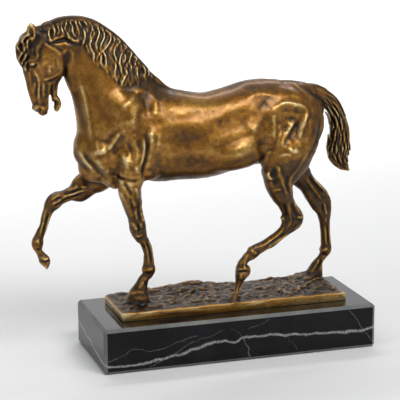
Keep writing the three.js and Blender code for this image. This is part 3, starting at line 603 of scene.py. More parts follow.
@dataclass
class Body:
    """Trunk and neck, with the muscles and bones that show on them."""

    depth: float = 1.05
    haunch_depth: float = 1.3
    trunk: Rows = (
        (-125, 208, -123, 175, 0, 12),
        (-117, 213, -116, 166, 0, 20),
        (-105, 220, -105, 158, 0, 24),
        (-88, 229, -88, 157, 0, 28),
        (-68, 236, -70, 156, 0, 30.5),
        (-47, 235, -47, 156, 0, 33),
        (-22, 230.3, -22, 156.4, 0, 34.5),
        (2, 234, 2, 161, 0, 34.5),
        (22.5, 240.2, 24, 164.6, 0, 32.5),
        (42, 240.6, 41, 169, 0, 30),
        (57.5, 238.2, 54, 174, 0, 27),
        (73, 234.6, 67, 184, 0, 21),
        (82.5, 225, 76.5, 198, 0, 13),
    )
    neck: Rows = (
        (-48, 233, -119, 172, 0, 24),
        (-57, 242, -127.6, 190, 0, 23.5),
        (-69, 253, -130.4, 208, 0, 20.5),
        (-83, 268, -132.6, 224, 0, 17.5),
        (-96, 282, -136, 237, 0, 15),
        (-111, 293.2, -139.2, 248, 0, 13),
        (-127, 298, -143.6, 258, 0, 12),
        (-143, 299, -149, 268, 0, 10.5),
    )

    def model(self, clay: Clay) -> None:
        """Joins the masses of the body.

        Args:
            clay: The clay.
        """
        clay.join(Sweep(self.trunk, 2.15, 0.08), 1)
        clay.join(Sweep(self.neck, 2.1, 0.25), 6)
        clay.join(Blob((-116, 0, 186), (18.6, 19, 22)), 6)
        clay.join(Blob((-116.4, 3, 170.5), (15, 14, 12.5)), 5)
        clay.join(Blob((-99, 0, 167), (17, 15, 15)), 5)
        for side in BOTH:
            y = side.value
            clay.join(Blob((-88, y * 16.5, 208), (19, 12, 35), -30), 5)  # shoulder blade
            clay.join(Blob((-79, y * 20, 180), (20, 11, 19), 20), 4)  # upper arm
            clay.join(Blob((-113, y * 16, 187), (12.5, 9, 14)), 4)  # point of the shoulder
            clay.join(Blob((48, y * 14.5, 203), (33, 16, 30), -12), 6)  # croup
            clay.join(Blob((62, y * 14.5, 200), (25, 13, 29), 14), 6)  # buttock
            clay.join(Blob((1, y * 24, 182), (30, 13.5, 16), -6), 6)  # belly's swelling
        clay.join(Blob((61, 0, 229.2), (25, 13, 8.4), 5), 8)  # root of the tail
        clay.join(Blob((17.5, 0, 166.4), (12, 6, 5), -10), 2.5)  # sheath

    strokes: Sequence[Stroke] = (
        # windpipe's edge, the furrow before it, and the neck's swelling
        Stroke(((-133.7, 252.5), (-131.5, 243.2), (-129.2, 234.7), (-127.4, 222), (-126, 210), (-124.4, 197)), 1.0, 2.6),
        Stroke(((-136, 245), (-134.2, 236.5), (-131.8, 227), (-129.8, 216.8), (-128, 207)), -1.2, 4.2),
        Stroke(((-119.5, 251), (-115, 238), (-108.3, 228.5)), 0.9, 8.0),
        Stroke(((-125, 259), (-121, 243), (-116, 226), (-112, 212)), -1.0, 8.0),
        # shoulder blade: its ridge, the hollow above, its rear corner and its middle
        Stroke(((-103.6, 224.7), (-97.8, 228), (-91.1, 232.4), (-85.1, 236.8), (-81.1, 238.4), (-73.5, 237)), 1.3, 4.0),
        Stroke(((-97, 236), (-91, 240), (-83, 243.5), (-73, 243)), -0.7, 6.0),
        Stroke(((-73.5, 237), (-68.5, 231), (-69, 224), (-73, 217)), 1.0, 4.5),
        Stroke(((-80, 231), (-77, 226)), -0.7, 5.0),
        Stroke(((-95, 224), (-91, 219), (-91.5, 212)), 0.9, 5.0),
        Stroke(((-84, 222), (-85, 213), (-86, 206)), -0.8, 5.5),
        Stroke(((-63, 226), (-64, 215), (-70, 207)), -0.8, 6.0),
        # point of the shoulder and the upper arm's bone
        Stroke(((-124.2, 188), (-120.7, 189), (-116.5, 189.6)), 1.5, 3.4),
        Stroke(((-102.5, 205.2), (-106.7, 198.4), (-111.4, 191.1)), 1.4, 3.0),
        Stroke(((-107.5, 206), (-112.5, 199), (-117, 195)), -1.0, 4.5),
        Stroke(((-98.5, 203), (-102.5, 195), (-106.5, 187)), -1.0, 4.0),
        # triceps: its rear edge, its heads and the elbow
        Stroke(((-79.6, 203), (-78.6, 194), (-80, 185), (-82.8, 175), (-84, 166)), -1.5, 2.3),
        Stroke(((-83, 201), (-81.8, 193), (-83.2, 185), (-86, 176)), 1.0, 2.6),
        Stroke(((-91.3, 198), (-88, 189.5), (-88.3, 182.3)), 0.8, 3.0),
        Stroke(((-96, 199), (-93, 190), (-93.5, 181)), -0.8, 2.8),
        Stroke(((-100.5, 188), (-99, 181), (-97, 174)), 1.0, 3.0),
        Stroke(((-89.5, 176), (-89, 171)), 1.1, 3.2),
        Stroke(((-107.3, 170), (-103, 166.8), (-98.1, 165.6), (-92.5, 164), (-87.2, 165)), -1.7, 2.8),
        # last ribs behind the arm
        Stroke(((-76.6, 205), (-74.6, 196)), 1.0, 3.2),
        Stroke(((-68.4, 203), (-69.4, 192)), 0.9, 3.4),
        Stroke(((-72.4, 202), (-72.2, 190)), -0.5, 2.6),
        # breast's folds
        Stroke(((-138, 196), (-135.4, 187), (-131, 178), (-124, 169)), -1.2, 2.8),
        Stroke(((-131.5, 190), (-126, 180), (-118, 171), (-109, 163)), -1.5, 3.0),
        Stroke(((-134.6, 190), (-130, 181), (-122, 171.5)), 0.8, 2.6),
        Stroke(((-122, 183), (-116, 175), (-109, 168)), 0.8, 4.0),
        # back and barrel
        Stroke(((-60, 209), (-46, 207), (-32, 206)), 0.5, 9.0),
        Stroke(((-38, 186), (-22, 186)), 0.6, 9.0),
        Stroke(((-52, 178), (-30, 174), (-5, 175)), -0.6, 7.0),
        # hip bone, the fold before the thigh and the barrel's end
        Stroke(((12.7, 229), (22.1, 231.4), (29.8, 231.2), (38, 229)), 1.0, 3.8),
        Stroke(((23, 219), (29.1, 223.2)), -1.1, 5.0),
        Stroke(((25, 214), (24.6, 205), (25.6, 195), (22, 184)), -0.9, 6.4),
        Stroke(((23.4, 214), (20, 206.2), (14.6, 202)), 0.7, 4.6),
        Stroke(((20.8, 192), (22.5, 182.3), (27, 172.4)), -1.2, 5.0),
        Stroke(((27.4, 171.5), (28.5, 176.9), (31.3, 182.5)), 1.0, 2.6),
        # thigh: the sunk plate, its raised edges and the slanting tendon
        Stroke(((43, 216), (52, 216.5), (60, 213)), -1.5, 4.6),
        Stroke(((45, 209), (57, 206), (55, 196), (51, 189)), -1.2, 4.6),
        Stroke(((37.5, 219.5), (43.3, 222.4), (49.7, 222.9), (56.2, 221.2), (62.9, 218.8), (68, 214.6)), 1.2, 2.8),
        Stroke(((68, 214.6), (65.6, 209.5), (62.1, 203.8), (59.2, 198), (57.4, 190)), 1.1, 2.8),
        Stroke(((55.4, 208.3), (50.6, 202.6), (46.8, 197.4), (43.4, 193.2), (40.6, 188), (38, 182)), 1.2, 3.2),
        Stroke(((57.5, 205), (53, 198.8), (48, 191.5)), -0.9, 3.0),
        Stroke(((42.1, 199.5), (38, 190.8), (36.4, 185)), 0.8, 2.3),
        Stroke(((34.5, 214), (34.5, 203), (33.6, 193)), 0.7, 3.0),
        Stroke(((45.4, 184.4), (50, 181.6), (54.4, 182.6)), 1.3, 3.2),
        Stroke(((37.5, 176.8), (43.7, 179.4), (48.2, 178)), 0.7, 2.4),
        # back of the thigh, and the line from the croup to the tail
        Stroke(((79, 207), (78, 196), (72, 183), (62, 170)), -0.9, 3.0),
        Stroke(((60.5, 236), (67.8, 229.5), (76, 221.5)), 0.7, 3.0),
        # stifle and the lower thigh
        Stroke(((28.6, 163), (30.6, 158.2), (34, 157)), 1.0, 2.6),
        Stroke(((37.7, 168), (39.4, 161), (42, 152)), 0.9, 2.4),
        Stroke(((33.6, 168), (35.4, 160), (37.6, 152)), -0.8, 2.6),
        Stroke(((56, 166), (60.5, 172.3), (66, 178)), 0.6, 2.6),
    )

    patches: Sequence[tuple[tuple[float, float], tuple[float, float], float, float]] = (
        ((-104, 236), (11, 24), 0.3, 20),  # the neck's bulge before the shoulder
        ((-86, 229), (8, 7), 0.9, -40),  # top of the shoulder blade
        ((-77, 224), (4.5, 7), -0.5, 0),
        ((-113, 196), (6, 9), 0.7, 30),
        ((-92, 184), (8, 10), 0.8, 10),  # triceps
        ((-70, 200), (7, 9), 0.5, 0),
        ((-26, 226), (34, 7), 1.3, -7),  # long muscle of the back
        ((-2, 208), (21, 8.5), -2.3, -14),  # hollow flank
        ((-46, 199), (20, 10), -1.2, 0),  # ribs sunk behind the arm
        ((3, 186), (17, 7), 2.8, -24),  # belly's swelling
        ((48, 181), (12, 8), 3.2, 0),  # thigh's swelling over the stifle
        ((46, 217), (18, 5), 0.8, -6),
        ((-74, 200), (5, 8), 1.3, 0),
        ((-66, 190), (6, 7), -0.7, 0),
        ((-34, 176), (26, 7), -0.6, 0),
        ((13, 203), (5, 12), 0.9, 0),  # before the flank's fold
        ((4, 226), (14, 7), 0.8, -16),  # loin
        ((-118, 192), (6, 5), 1.0, 0),  # point of the shoulder
        ((-93, 222), (11, 10), 1.0, -40),
        ((48, 205), (13, 11), -2.0, 10),  # sunk middle of the thigh
        ((36, 205), (5, 14), 0.8, -6),
        ((69, 196), (6, 16), 0.5, -8),  # buttock
        ((60, 226), (16, 6), 0.5, -20),
        ((24, 202), (6, 22), -0.8, 0),  # flank
        ((40, 170), (9, 6), 0.6, 0),
    )

    def carve(self, relief: Relief) -> None:
        """Raises the muscles and bones and sinks the hollows between them.

        Args:
            relief: The relief of one side.
        """
        for line, height, soft in self.strokes:
            depth = self.haunch_depth if line[0][0] > 20 else self.depth
            relief.stroke(line, depth * height, 0.72 * soft)
        for centre, size, height, pitch in self.patches:
            relief.patch(centre, size, height, pitch)


@dataclass
class Head:
    """Skull, jaws, eyes, nostrils and ears."""

    skull: Rows = (
        (-163, 292, -147, 288, 0, 8),
        (-171, 286.5, -143, 281, 0, 10.5),
        (-175.5, 279, -141, 272, 0, 12),
        (-177.8, 267, -141, 262, 0, 12),
        (-178, 256, -144, 253, 0, 10),
        (-176.2, 247, -149, 246, 0, 7.6),
        (-174, 238.5, -153.5, 239, 0, 6),
        (-171, 230.5, -156, 231, 0, 5.6),
        (-168.3, 225, -156.8, 225.5, 0, 6),
        (-165.5, 222.8, -159.2, 222, 0, 5),
    )
    lower_jaw: Rows = (
        (-160, 251, -146.5, 250, 0, 6.5),
        (-157, 243, -148.3, 243.5, 0, 4.8),
        (-154.8, 236.5, -149, 236.5, 0, 3.8),
        (-154.2, 232, -146.8, 232, 0, 4),
        (-153.6, 227, -146, 228, 0, 4.4),
        (-152, 223.6, -148, 224, 0, 3.4),
    )
    mouth: Rows = (
        (-156.6, 237, -155.2, 237, 0, 9),
        (-157, 231, -153.9, 231.5, 0, 9),
        (-157.2, 224, -152.8, 222, 0, 9),
    )
    depth: float = 0.55
    softness: float = 1.15
    ears: tuple[tuple[Side, float, float], ...] = ((Side.NEAR, -171.4, 291.0), (Side.FAR, -166.5, 289.5))
    strokes: Sequence[Stroke] = (
        # brow, eyelids and the hollows round the eye
        Stroke(((-163.4, 284), (-165.6, 279.8), (-167, 277.4), (-167.8, 274.6), (-167.5, 271.7), (-170, 268.6)), 1.7, 1.0),
        Stroke(((-163.6, 279), (-165.2, 275), (-165.2, 271.5), (-167, 267.5)), -0.8, 1.3),
        Stroke(((-172.9, 281.1), (-170.4, 279.4), (-169.2, 276.5), (-169.9, 272)), -0.9, 1.1),
        Stroke(((-175.6, 266.3), (-173.7, 267.9), (-172, 268), (-169.6, 268.2)), 1.2, 0.8),
        Stroke(((-173.4, 264.8), (-171.2, 264.4), (-169.6, 266)), 1.1, 0.8),
        Stroke(((-175, 264.2), (-172.3, 262.3), (-169.2, 263.4), (-168.2, 265.4)), -1.5, 1.0),
        Stroke(((-168.6, 266.8), (-166.7, 262.7)), 0.8, 0.8),
        # cheek: rounded rear edge, lower edge and the dents across it
        Stroke(((-161.8, 283), (-159, 280), (-154.9, 277.4), (-151.2, 275), (-148, 272), (-146.4, 268)), 0.9, 1.2),
        Stroke(((-159.6, 284), (-157.2, 281.8), (-153.4, 279.4), (-149.4, 277), (-145.6, 273.4)), -1.5, 1.2),
        Stroke(((-145.2, 272), (-143.8, 268), (-143.1, 262), (-143.4, 254)), -2.4, 1.9),
        Stroke(((-147.4, 256.8), (-150.2, 255.3), (-153.9, 253), (-157.5, 252.1), (-160.5, 251.3), (-162.6, 249.8)), 1.6, 1.0),
        Stroke(((-150, 252.6), (-154, 250.4), (-158, 249.6)), -1.4, 1.3),
        Stroke(((-160.4, 265), (-160.5, 258.8), (-160.1, 253.6)), -0.8, 1.8),
        Stroke(((-153.2, 269), (-152.1, 266.2), (-151.4, 260.6)), -0.9, 0.9),
        Stroke(((-157, 262), (-154.7, 258)), -0.8, 0.9),
        Stroke(((-156.8, 264), (-157, 257)), 0.5, 1.2),
        # throat
        Stroke(((-145.8, 273.2), (-144.6, 274.8), (-141.5, 275.6), (-138.2, 273.6), (-137.4, 269)), 0.8, 1.0),
        # veins and bones down the face
        Stroke(((-171.6, 261.4), (-169.2, 257.8), (-167.3, 253.4), (-166.1, 249), (-166, 245), (-166.3, 240), (-166.4, 235), (-165.6, 230)), 1.5, 0.9),
        Stroke(((-168.6, 253), (-168, 247), (-168, 241), (-168.4, 236)), -0.9, 1.0),
        Stroke(((-174.8, 261.2), (-173.8, 256.3), (-173.1, 250.6), (-172.2, 244.5), (-171, 238)), 0.9, 0.9),
        Stroke(((-172.4, 261), (-171.4, 254), (-170.8, 247)), -0.8, 1.1),
        Stroke(((-169.2, 250), (-169.5, 245.8), (-170.2, 242.8), (-170.6, 238)), 0.9, 0.8),
        Stroke(((-162.9, 249.8), (-162.2, 245), (-162.3, 240), (-162, 236)), 1.0, 0.8),
        Stroke(((-164.2, 247), (-164.2, 241), (-164, 235)), -0.9, 1.0),
        Stroke(((-159.5, 248), (-159.6, 241), (-159, 234)), -0.8, 1.4),
        Stroke(((-156.8, 249.5), (-156.9, 245), (-156.8, 240), (-155.2, 236.4)), 1.0, 0.8),
        Stroke(((-154.4, 247), (-154.8, 241), (-154, 237)), -1.1, 1.0),
        Stroke(((-152.6, 248.2), (-153, 241.8), (-152.2, 237)), 0.8, 0.7),
        Stroke(((-149.6, 248), (-149.8, 241.4), (-150.4, 237)), 0.8, 0.7),
        # nostril, lips and chin
        Stroke(((-168.6, 228), (-166, 228.6), (-164, 227.2), (-161.6, 225.2)), 1.4, 0.8),
        Stroke(((-165.8, 233), (-165.4, 229.4)), 1.0, 0.8),
        Stroke(((-158.6, 230.6), (-158, 226.1), (-157.4, 222.4)), 0.9, 0.8),
        Stroke(((-162.4, 232), (-161.4, 227.6)), -0.7, 1.2),
        Stroke(((-164.6, 222.2), (-161.2, 221.6), (-158.8, 223.4)), -0.8, 0.8),
        Stroke(((-153.8, 234.4), (-150, 233.4), (-147.4, 230), (-147.6, 226.4), (-150, 224.4)), 1.6, 0.8),
    )
    patches: Sequence[tuple[tuple[float, float], tuple[float, float], float, float]] = (
        ((-171.8, 274.4), (3.2, 4.4), 0.9, 0),  # temple
        ((-172, 265.2), (1.8, 1.3), 0.9, 0),  # eyeball
        ((-154.5, 267), (10.5, 11.5), 0.9, 0),  # cheek
        ((-141.4, 269), (2.6, 5.4), -2.0, 0),  # throat's hollow
        ((-166.8, 224.6), (2.1, 1.5), -2.2, -20),  # nostril
        ((-151.8, 229.2), (1.7, 2.8), -1.8, 0),  # inside of the lower lip
    )

    def model(self, clay: Clay) -> None:
        """Joins the masses of the head and opens the mouth.

        Args:
            clay: The clay.
        """
        clay.join(Sweep(self.skull, 2.3), 3)
        for side in BOTH:
            y = side.value
            clay.join(Blob((-154.8, y * 6.8, 265), (12.2, 4.6, 14.8), -12), 1.5)  # cheek
            clay.join(Blob((-170.6, y * 7.6, 267.5), (4.6, 3.6, 5.5)), 2.5)  # eye's socket
            clay.join(Blob((-167.2, y * 3.4, 226.2), (3.4, 3, 3.8)), 1.5)  # nostril
        clay.join(Blob((-162, 0, 222.8), (4.4, 5, 3), 18), 1.5)  # upper lip
        clay.join(Sweep(self.lower_jaw), 1.5)
        clay.cut(Sweep(self.mouth, 2.5), 0.6)
        for side, x, z in self.ears:
            self.model_ear(clay, side.value, x, z)

    def carve(self, relief: Relief) -> None:
        """Carves the eye, cheek, veins, nostril and lips.

        Args:
            relief: The relief of one side.
        """
        for line, height, soft in self.strokes:
            relief.stroke(line, self.depth * height, self.softness * soft)
        for centre, size, height, pitch in self.patches:
            relief.patch(centre, size, height, pitch)

    @staticmethod
    def model_ear(clay: Clay, side: float, x: float, z: float) -> None:
        """One ear, a pointed leaf with its hollow.

        Args:
            clay: The clay.
            side: The side it is on, as the sign of y.
            x: Its place along x.
            z: Its place along z.
        """
        leaf = ((0.8, 8, -6, 2.4), (0.2, 9, -2.5, 3.7), (-0.2, 9.4, 1, 3.9), (-0.9, 9.6, 4.4, 2.6), (-1.6, 9.6, 7, 0.7))
        clay.join(Cord([(x + dx, side * y, z + dz, r) for dx, y, dz, r in leaf], 0.5), 0.8)
        hollow = ((0.1, 11.2, -3, 1.5), (-0.3, 11.6, 0.6, 2.3), (-1, 11.5, 3.8, 1.1))
        clay.cut(Cord([(x + dx, side * y, z + dz, r) for dx, y, dz, r in hollow]), 0.5)


@dataclass
class Legs:
    """The four legs, and the post of bronze under the lifted hind toe."""

    near_fore: Rows = (
        (-102, 175, -79, 180, -20, 12.5),
        (-103, 164, -80, 168, -20.5, 12.5),
        (-102.5, 154.8, -82.6, 157, -20, 10.8),
        (-99.2, 143.6, -81.5, 146, -18, 8.7),
        (-95.4, 134, -80.2, 134.5, -16, 7.2),
        (-92.4, 124.4, -77.6, 123.2, -14.5, 6.5),
        (-91.6, 117.5, -75.6, 114.5, -13.5, 6.4),
        (-87.8, 110.6, -74.4, 108, -13, 5.4),
        (-82.7, 103.6, -71.6, 101.4, -12, 3.9),
        (-79.2, 95, -70.2, 92.6, -11.5, 3.4),
        (-79, 86.7, -69.4, 84.5, -11, 4.2),
        (-80.2, 81, -68.3, 78.8, -10.5, 5),
        (-80.2, 76, -70.6, 73.4, -10, 4.2),
        (-83.2, 72, -73.4, 70.4, -10, 4.5),
        (-86.8, 65, -75, 64, -9.5, 6),
        (-90.8, 59.7, -74, 58, -9, 7.6),
        (-94, 53, -73.4, 51, -9, 8.6),
    )
    off_fore: Rows = (
        (-104, 182, -88, 164, 18, 12),
        (-123.4, 167.6, -98.4, 151.4, 18, 12),
        (-131.6, 160.6, -109.6, 147.4, 17, 10),
        (-140.4, 153.6, -120.8, 141.8, 15, 8),
        (-147.3, 149.3, -130.8, 141.8, 14, 6.6),
        (-155.6, 146.8, -141.4, 139.2, 13.5, 6.2),
        (-159.4, 142, -148, 135.6, 13, 6.2),
        (-160.5, 136.8, -153.4, 130.8, 12.5, 5),
        (-163.1, 128.5, -156.2, 125.6, 12, 3.6),
        (-165.6, 120.7, -159, 118.6, 12, 3.3),
        (-169.7, 113, -161.6, 111.5, 12, 4.2),
        (-172.5, 106, -162.2, 105.2, 12, 4.8),
        (-170.2, 99.6, -163.5, 99.4, 12, 4.2),
        (-167.9, 94.6, -161.5, 96, 12, 4.5),
        (-166.3, 89, -157.3, 91.8, 12, 6.3),
        (-163.4, 84.2, -157.4, 87.2, 12, 6.2),
        (-161, 81.6, -159.4, 83, 12, 4.5),
    )
    near_hind: Rows = (
        (23, 196, 83.2, 206, -17, 14),
        (22, 180, 80.2, 190, -19, 15),
        (22.8, 164.2, 70.6, 171, -21, 14),
        (27, 157.5, 60.5, 157.5, -22.5, 12.3),
        (30.2, 149.1, 56, 148.3, -22.5, 10.2),
        (36, 138.9, 57, 136.3, -22, 8),
        (41.8, 130.4, 60.2, 127.6, -21, 5.9),
        (44.2, 122.8, 65.6, 119.6, -20, 5),
        (43.4, 114.2, 65, 112.6, -20, 5),
        (41, 106.6, 53, 104, -20.5, 4.4),
        (27.6, 99.4, 40.4, 94.9, -21.5, 3.8),
        (16.4, 95.6, 27.9, 89.6, -22.5, 4.3),
        (11, 90.6, 21.9, 86.2, -23, 4.8),
        (8.2, 85.4, 14.8, 83, -23, 4.2),
        (3.8, 80.9, 12.8, 79.4, -23.5, 4.8),
        (1.7, 75.4, 14.9, 75.2, -24, 6.5),
        (1.5, 68.5, 10.6, 68.5, -24, 6.1),
        (2, 63, 6.7, 62.6, -24, 3.6),
    )
    off_hind: Rows = (
        (40, 185, 83, 195, 16, 13),
        (54, 163, 82, 172, 17.5, 13),
        (62.6, 151.6, 83.6, 161.3, 18, 11.5),
        (69.5, 140.2, 86.2, 153.4, 18, 9.6),
        (77.3, 133.8, 92.4, 143.3, 18, 7.6),
        (84.6, 122.8, 100.2, 135, 17.5, 6),
        (91.6, 110.8, 106.4, 125.3, 17, 5.1),
        (96, 102.2, 107, 113.8, 17, 4.8),
        (97.9, 93.4, 106.8, 98.8, 17, 4.1),
        (98.4, 82.4, 108, 82.4, 17, 3.8),
        (97.6, 74, 109, 75.3, 17.5, 4.8),
        (95.8, 68.2, 103.6, 68.2, 18, 4.2),
        (92.2, 63.8, 101.2, 62.6, 19, 4.6),
        (89.4, 58, 101.4, 57.5, 20, 6.2),
        (85.6, 52, 101.6, 50, 20, 7.2),
    )
    toe_post: Rows = (
        (1.5, 65, 7, 65, -24, 3),
        (1, 60, 5.4, 60, -24.5, 2.3),
        (0, 56, 4.2, 56, -25, 2.2),
        (-2.6, 52, 4, 52, -25.5, 3),
        (-5.6, 48.5, 5.6, 48.5, -25.5, 4.4),
    )

    near_strokes: Sequence[Stroke] = (
        # near forearm: extensor, elbow, the furrow behind them and the flexors
        Stroke(((-102.5, 155), (-99.5, 148), (-96, 141), (-92, 133), (-89.5, 128.5)), 1.0, 1.6),
        Stroke(((-105, 167), (-102.5, 165), (-101.5, 162.5)), 1.1, 1.3),
        Stroke(((-99.5, 163.5), (-96, 156.5), (-93, 150.5)), -1.6, 1.7),
        Stroke(((-90, 158), (-88.5, 153), (-87, 148)), 1.1, 1.5),
        Stroke(((-93.5, 147), (-90.5, 143), (-90.5, 139)), 0.9, 1.3),
        Stroke(((-90, 138), (-88, 132), (-86.5, 127.5)), 1.1, 1.1),
        Stroke(((-95, 150), (-92, 142), (-88.5, 134)), -0.9, 1.1),
        Stroke(((-83, 134), (-81.5, 129.5), (-80, 124.5)), 0.9, 1.1),
        Stroke(((-86.5, 142), (-85.5, 134), (-83.5, 125.5)), -1.4, 1.2),
        # near knee, cannon, fetlock and pastern
        Stroke(((-91.5, 125.5), (-89, 122), (-86.5, 118)), 1.4, 1.4),
        Stroke(((-83.5, 124.5), (-82.5, 119.5)), 1.1, 1.3),
        Stroke(((-86, 123.5), (-84.5, 117)), -1.3, 1.0),
        Stroke(((-87, 113), (-84.5, 112), (-81.5, 114)), 1.2, 1.3),
        Stroke(((-81, 108.5), (-77.5, 102), (-76, 96.5), (-75, 91), (-75, 85.5)), 0.9, 0.9),
        Stroke(((-78.2, 107), (-74.9, 99), (-73.5, 91.5), (-73.2, 86.5)), -1.1, 0.9),
        Stroke(((-75.5, 107), (-72, 98), (-70.5, 90), (-70, 84.5)), 0.9, 0.9),
        Stroke(((-84, 106), (-80.2, 98), (-78.2, 91)), -0.7, 1.0),
        Stroke(((-76.5, 81.2), (-74, 80.5), (-72, 81)), 1.2, 1.5),
        Stroke(((-77.5, 77.5), (-74, 76.5)), -1.0, 1.2),
        Stroke(((-77.5, 74), (-81, 68.5), (-85, 63.5)), 1.0, 1.4),
        Stroke(((-80, 71.5), (-77, 66), (-77.5, 60)), -0.9, 1.2),
        Stroke(((-92, 59.5), (-86, 61.5), (-79.5, 59.8)), 0.9, 1.2),
        Stroke(((-88.5, 56), (-85, 56), (-81.5, 55)), 0.8, 1.6),
        # near stifle, gaskin and its tendons
        Stroke(((37, 168.5), (37, 163.5), (38, 158)), 1.0, 1.6),
        Stroke(((29, 162.5), (29.3, 159), (30.5, 156.5)), 1.0, 1.3),
        Stroke(((33, 165), (33.5, 158), (35.5, 151)), -1.2, 1.6),
        Stroke(((40.5, 154), (44.5, 148), (47, 141)), 1.0, 1.5),
        Stroke(((34, 144.7), (36.6, 146.8), (41, 147)), 0.9, 1.3),
        Stroke(((59, 168), (53, 162.5), (49.5, 158), (49, 151.5), (51.5, 145), (53, 138.5)), 1.0, 1.5),
        Stroke(((46, 160), (45.5, 152), (48, 145)), -1.2, 1.7),
        Stroke(((53, 138.5), (58.3, 129), (62, 123.5), (65.5, 118)), 1.2, 1.1),
        Stroke(((48, 136.5), (50, 129.5), (51.5, 123.5), (53.3, 118), (51.4, 113.5), (49, 110)), 1.0, 1.1),
        Stroke(((53.2, 133), (55.7, 126), (59, 120)), -1.8, 1.3),
        Stroke(((44.5, 134), (48.3, 124), (48.5, 114)), -1.2, 1.1),
        # near hock, cannon, fetlock and hoof
        Stroke(((59.5, 118.7), (65, 118.2)), 1.4, 1.3),
        Stroke(((56, 116.8), (60, 116.6), (65, 115.5)), -1.1, 0.9),
        Stroke(((64.5, 113.3), (59.2, 110), (55.5, 108)), 1.2, 1.2),
        Stroke(((46.5, 110), (42.5, 106), (37.3, 102), (30.5, 98), (21.7, 93.7)), 1.0, 1.1),
        Stroke(((48.6, 105.6), (43, 102.4), (36.2, 99.3), (29.5, 95.4)), -1.4, 0.9),
        Stroke(((50.5, 105.4), (45, 101.3), (39.2, 97.5), (31.5, 93.3), (25, 90)), 1.0, 1.0),
        Stroke(((15.5, 94), (17, 91.5), (20.5, 89.5)), 1.4, 1.5),
        Stroke(((22.5, 92), (20.5, 88.5), (16.5, 86)), -0.9, 1.0),
        Stroke(((12.5, 89), (9.6, 84.7), (8.2, 80.7), (8.5, 77.5)), 1.0, 1.2),
        Stroke(((12.2, 90.5), (8.5, 85.5), (4.5, 81.3)), 0.7, 0.9),
        Stroke(((2.5, 77), (6.5, 78.2), (11.5, 77.8)), 0.9, 1.0),
        Stroke(((2.9, 75.3), (6.5, 75.2), (11.3, 75)), -1.3, 0.9),
        Stroke(((12.5, 80.5), (13.8, 77), (13.3, 72), (8, 69.2)), 0.9, 1.1),
        Stroke(((4.2, 73.5), (4.4, 68.5)), 0.8, 1.2),
        Stroke(((3.2, 66), (2.6, 60), (1.2, 54)), 0.6, 0.8),
    )
    off_strokes: Sequence[Stroke] = (
        # off forearm: the two extensors, the furrow between them and the knee
        Stroke(((-128.5, 153.3), (-126, 153.3), (-124, 154)), 1.0, 1.4),
        Stroke(((-141.7, 148.8), (-136, 151.7), (-130.5, 155.7)), 1.1, 1.3),
        Stroke(((-147.4, 144.2), (-142, 146.4), (-136, 147.8), (-129.6, 150), (-122.5, 150.4)), 1.1, 1.2),
        Stroke(((-143.8, 142.7), (-136.8, 145.2), (-128, 147.2)), -1.3, 1.1),
        Stroke(((-142, 149), (-135, 150), (-127, 152.2)), -1.0, 1.0),
        Stroke(((-155.5, 144), (-151.3, 146.3), (-146.8, 148)), 1.2, 1.2),
        Stroke(((-155.3, 140.7), (-151, 141.4), (-145.7, 143.7)), 1.1, 1.2),
        Stroke(((-153, 138.2), (-147.5, 141), (-142, 143.8)), -1.1, 1.0),
        # off cannon, fetlock, pastern and hoof
        Stroke(((-158.7, 137.7), (-161.3, 131.5), (-162.5, 124.6), (-164.6, 117.7), (-166.7, 111)), 0.9, 0.9),
        Stroke(((-157.7, 133.4), (-159.9, 125.4), (-161.9, 117.5), (-164, 110.7)), -1.1, 0.8),
        Stroke(((-155.5, 133.2), (-158, 125), (-159.8, 117), (-161.8, 110)), 0.9, 0.9),
        Stroke(((-170.2, 107.6), (-168.2, 108.5), (-167, 105.8)), 1.3, 1.4),
        Stroke(((-168.8, 101.4), (-166.2, 100.2)), -1.1, 1.1),
        Stroke(((-166.2, 94.3), (-164, 92.3), (-162, 92.2), (-159, 93.4)), 1.1, 1.0),
        Stroke(((-166, 92), (-162, 89.6), (-158.5, 90.4)), -0.9, 0.8),
        Stroke(((-165.5, 88.5), (-161.5, 84)), 0.8, 1.2),
        # off gaskin and hock
        Stroke(((79, 148), (83.7, 141), (89, 134), (93.2, 128.8), (97.2, 123)), 1.1, 1.3),
        Stroke(((87, 147.5), (93.7, 138.7), (102, 131.2), (103.3, 127.6)), 1.3, 1.1),
        Stroke(((82.7, 150.3), (88.2, 142.2), (94.5, 135), (99, 129.5)), -1.6, 1.3),
        Stroke(((99.2, 121), (100.4, 115), (102, 109.3)), 1.2, 1.1),
        Stroke(((97.2, 120), (98.4, 113.2)), -0.9, 0.9),
        Stroke(((101.5, 107.4), (100.8, 102.2)), 0.9, 1.0),
        # off cannon, fetlock and pastern
        Stroke(((100.2, 99), (101.3, 92), (101.7, 84.5), (103.2, 79.6)), 1.0, 0.9),
        Stroke(((102.8, 100.6), (103.7, 92), (104.2, 82.3)), -1.1, 0.8),
        Stroke(((105.5, 101), (105.9, 92), (106.3, 83)), 0.8, 0.8),
        Stroke(((98.5, 74.2), (100.5, 76.3), (103.1, 77.3)), 1.3, 1.3),
        Stroke(((99, 71.9), (103.3, 71)), -1.1, 1.0),
        Stroke(((96.5, 68), (94, 63), (90, 57.5), (87.4, 53.2)), 1.0, 1.1),
        Stroke(((97.8, 67.4), (95.4, 61), (91.7, 54.8)), -1.1, 0.9),
        Stroke(((99.6, 68.3), (98.3, 61.4), (97, 56)), 0.9, 1.1),
    )

    def model(self, clay: Clay) -> None:
        """Joins the legs and the post.

        Args:
            clay: The clay.
        """
        for leg in (self.near_fore, self.off_fore, self.near_hind, self.off_hind):
            clay.join(Sweep(leg), 4)
        clay.join(Sweep(self.toe_post), 1.5)

    def carve(self, near: Relief, far: Relief) -> None:
        """Draws tendons, bones and joints, those of the off legs into the far side's relief.

        Args:
            near: The relief of the near side.
            far: The relief of the far side.
        """
        for relief, strokes in ((near, self.near_strokes), (far, self.off_strokes)):
            for line, height, soft in strokes:
                relief.stroke(line, height, soft)


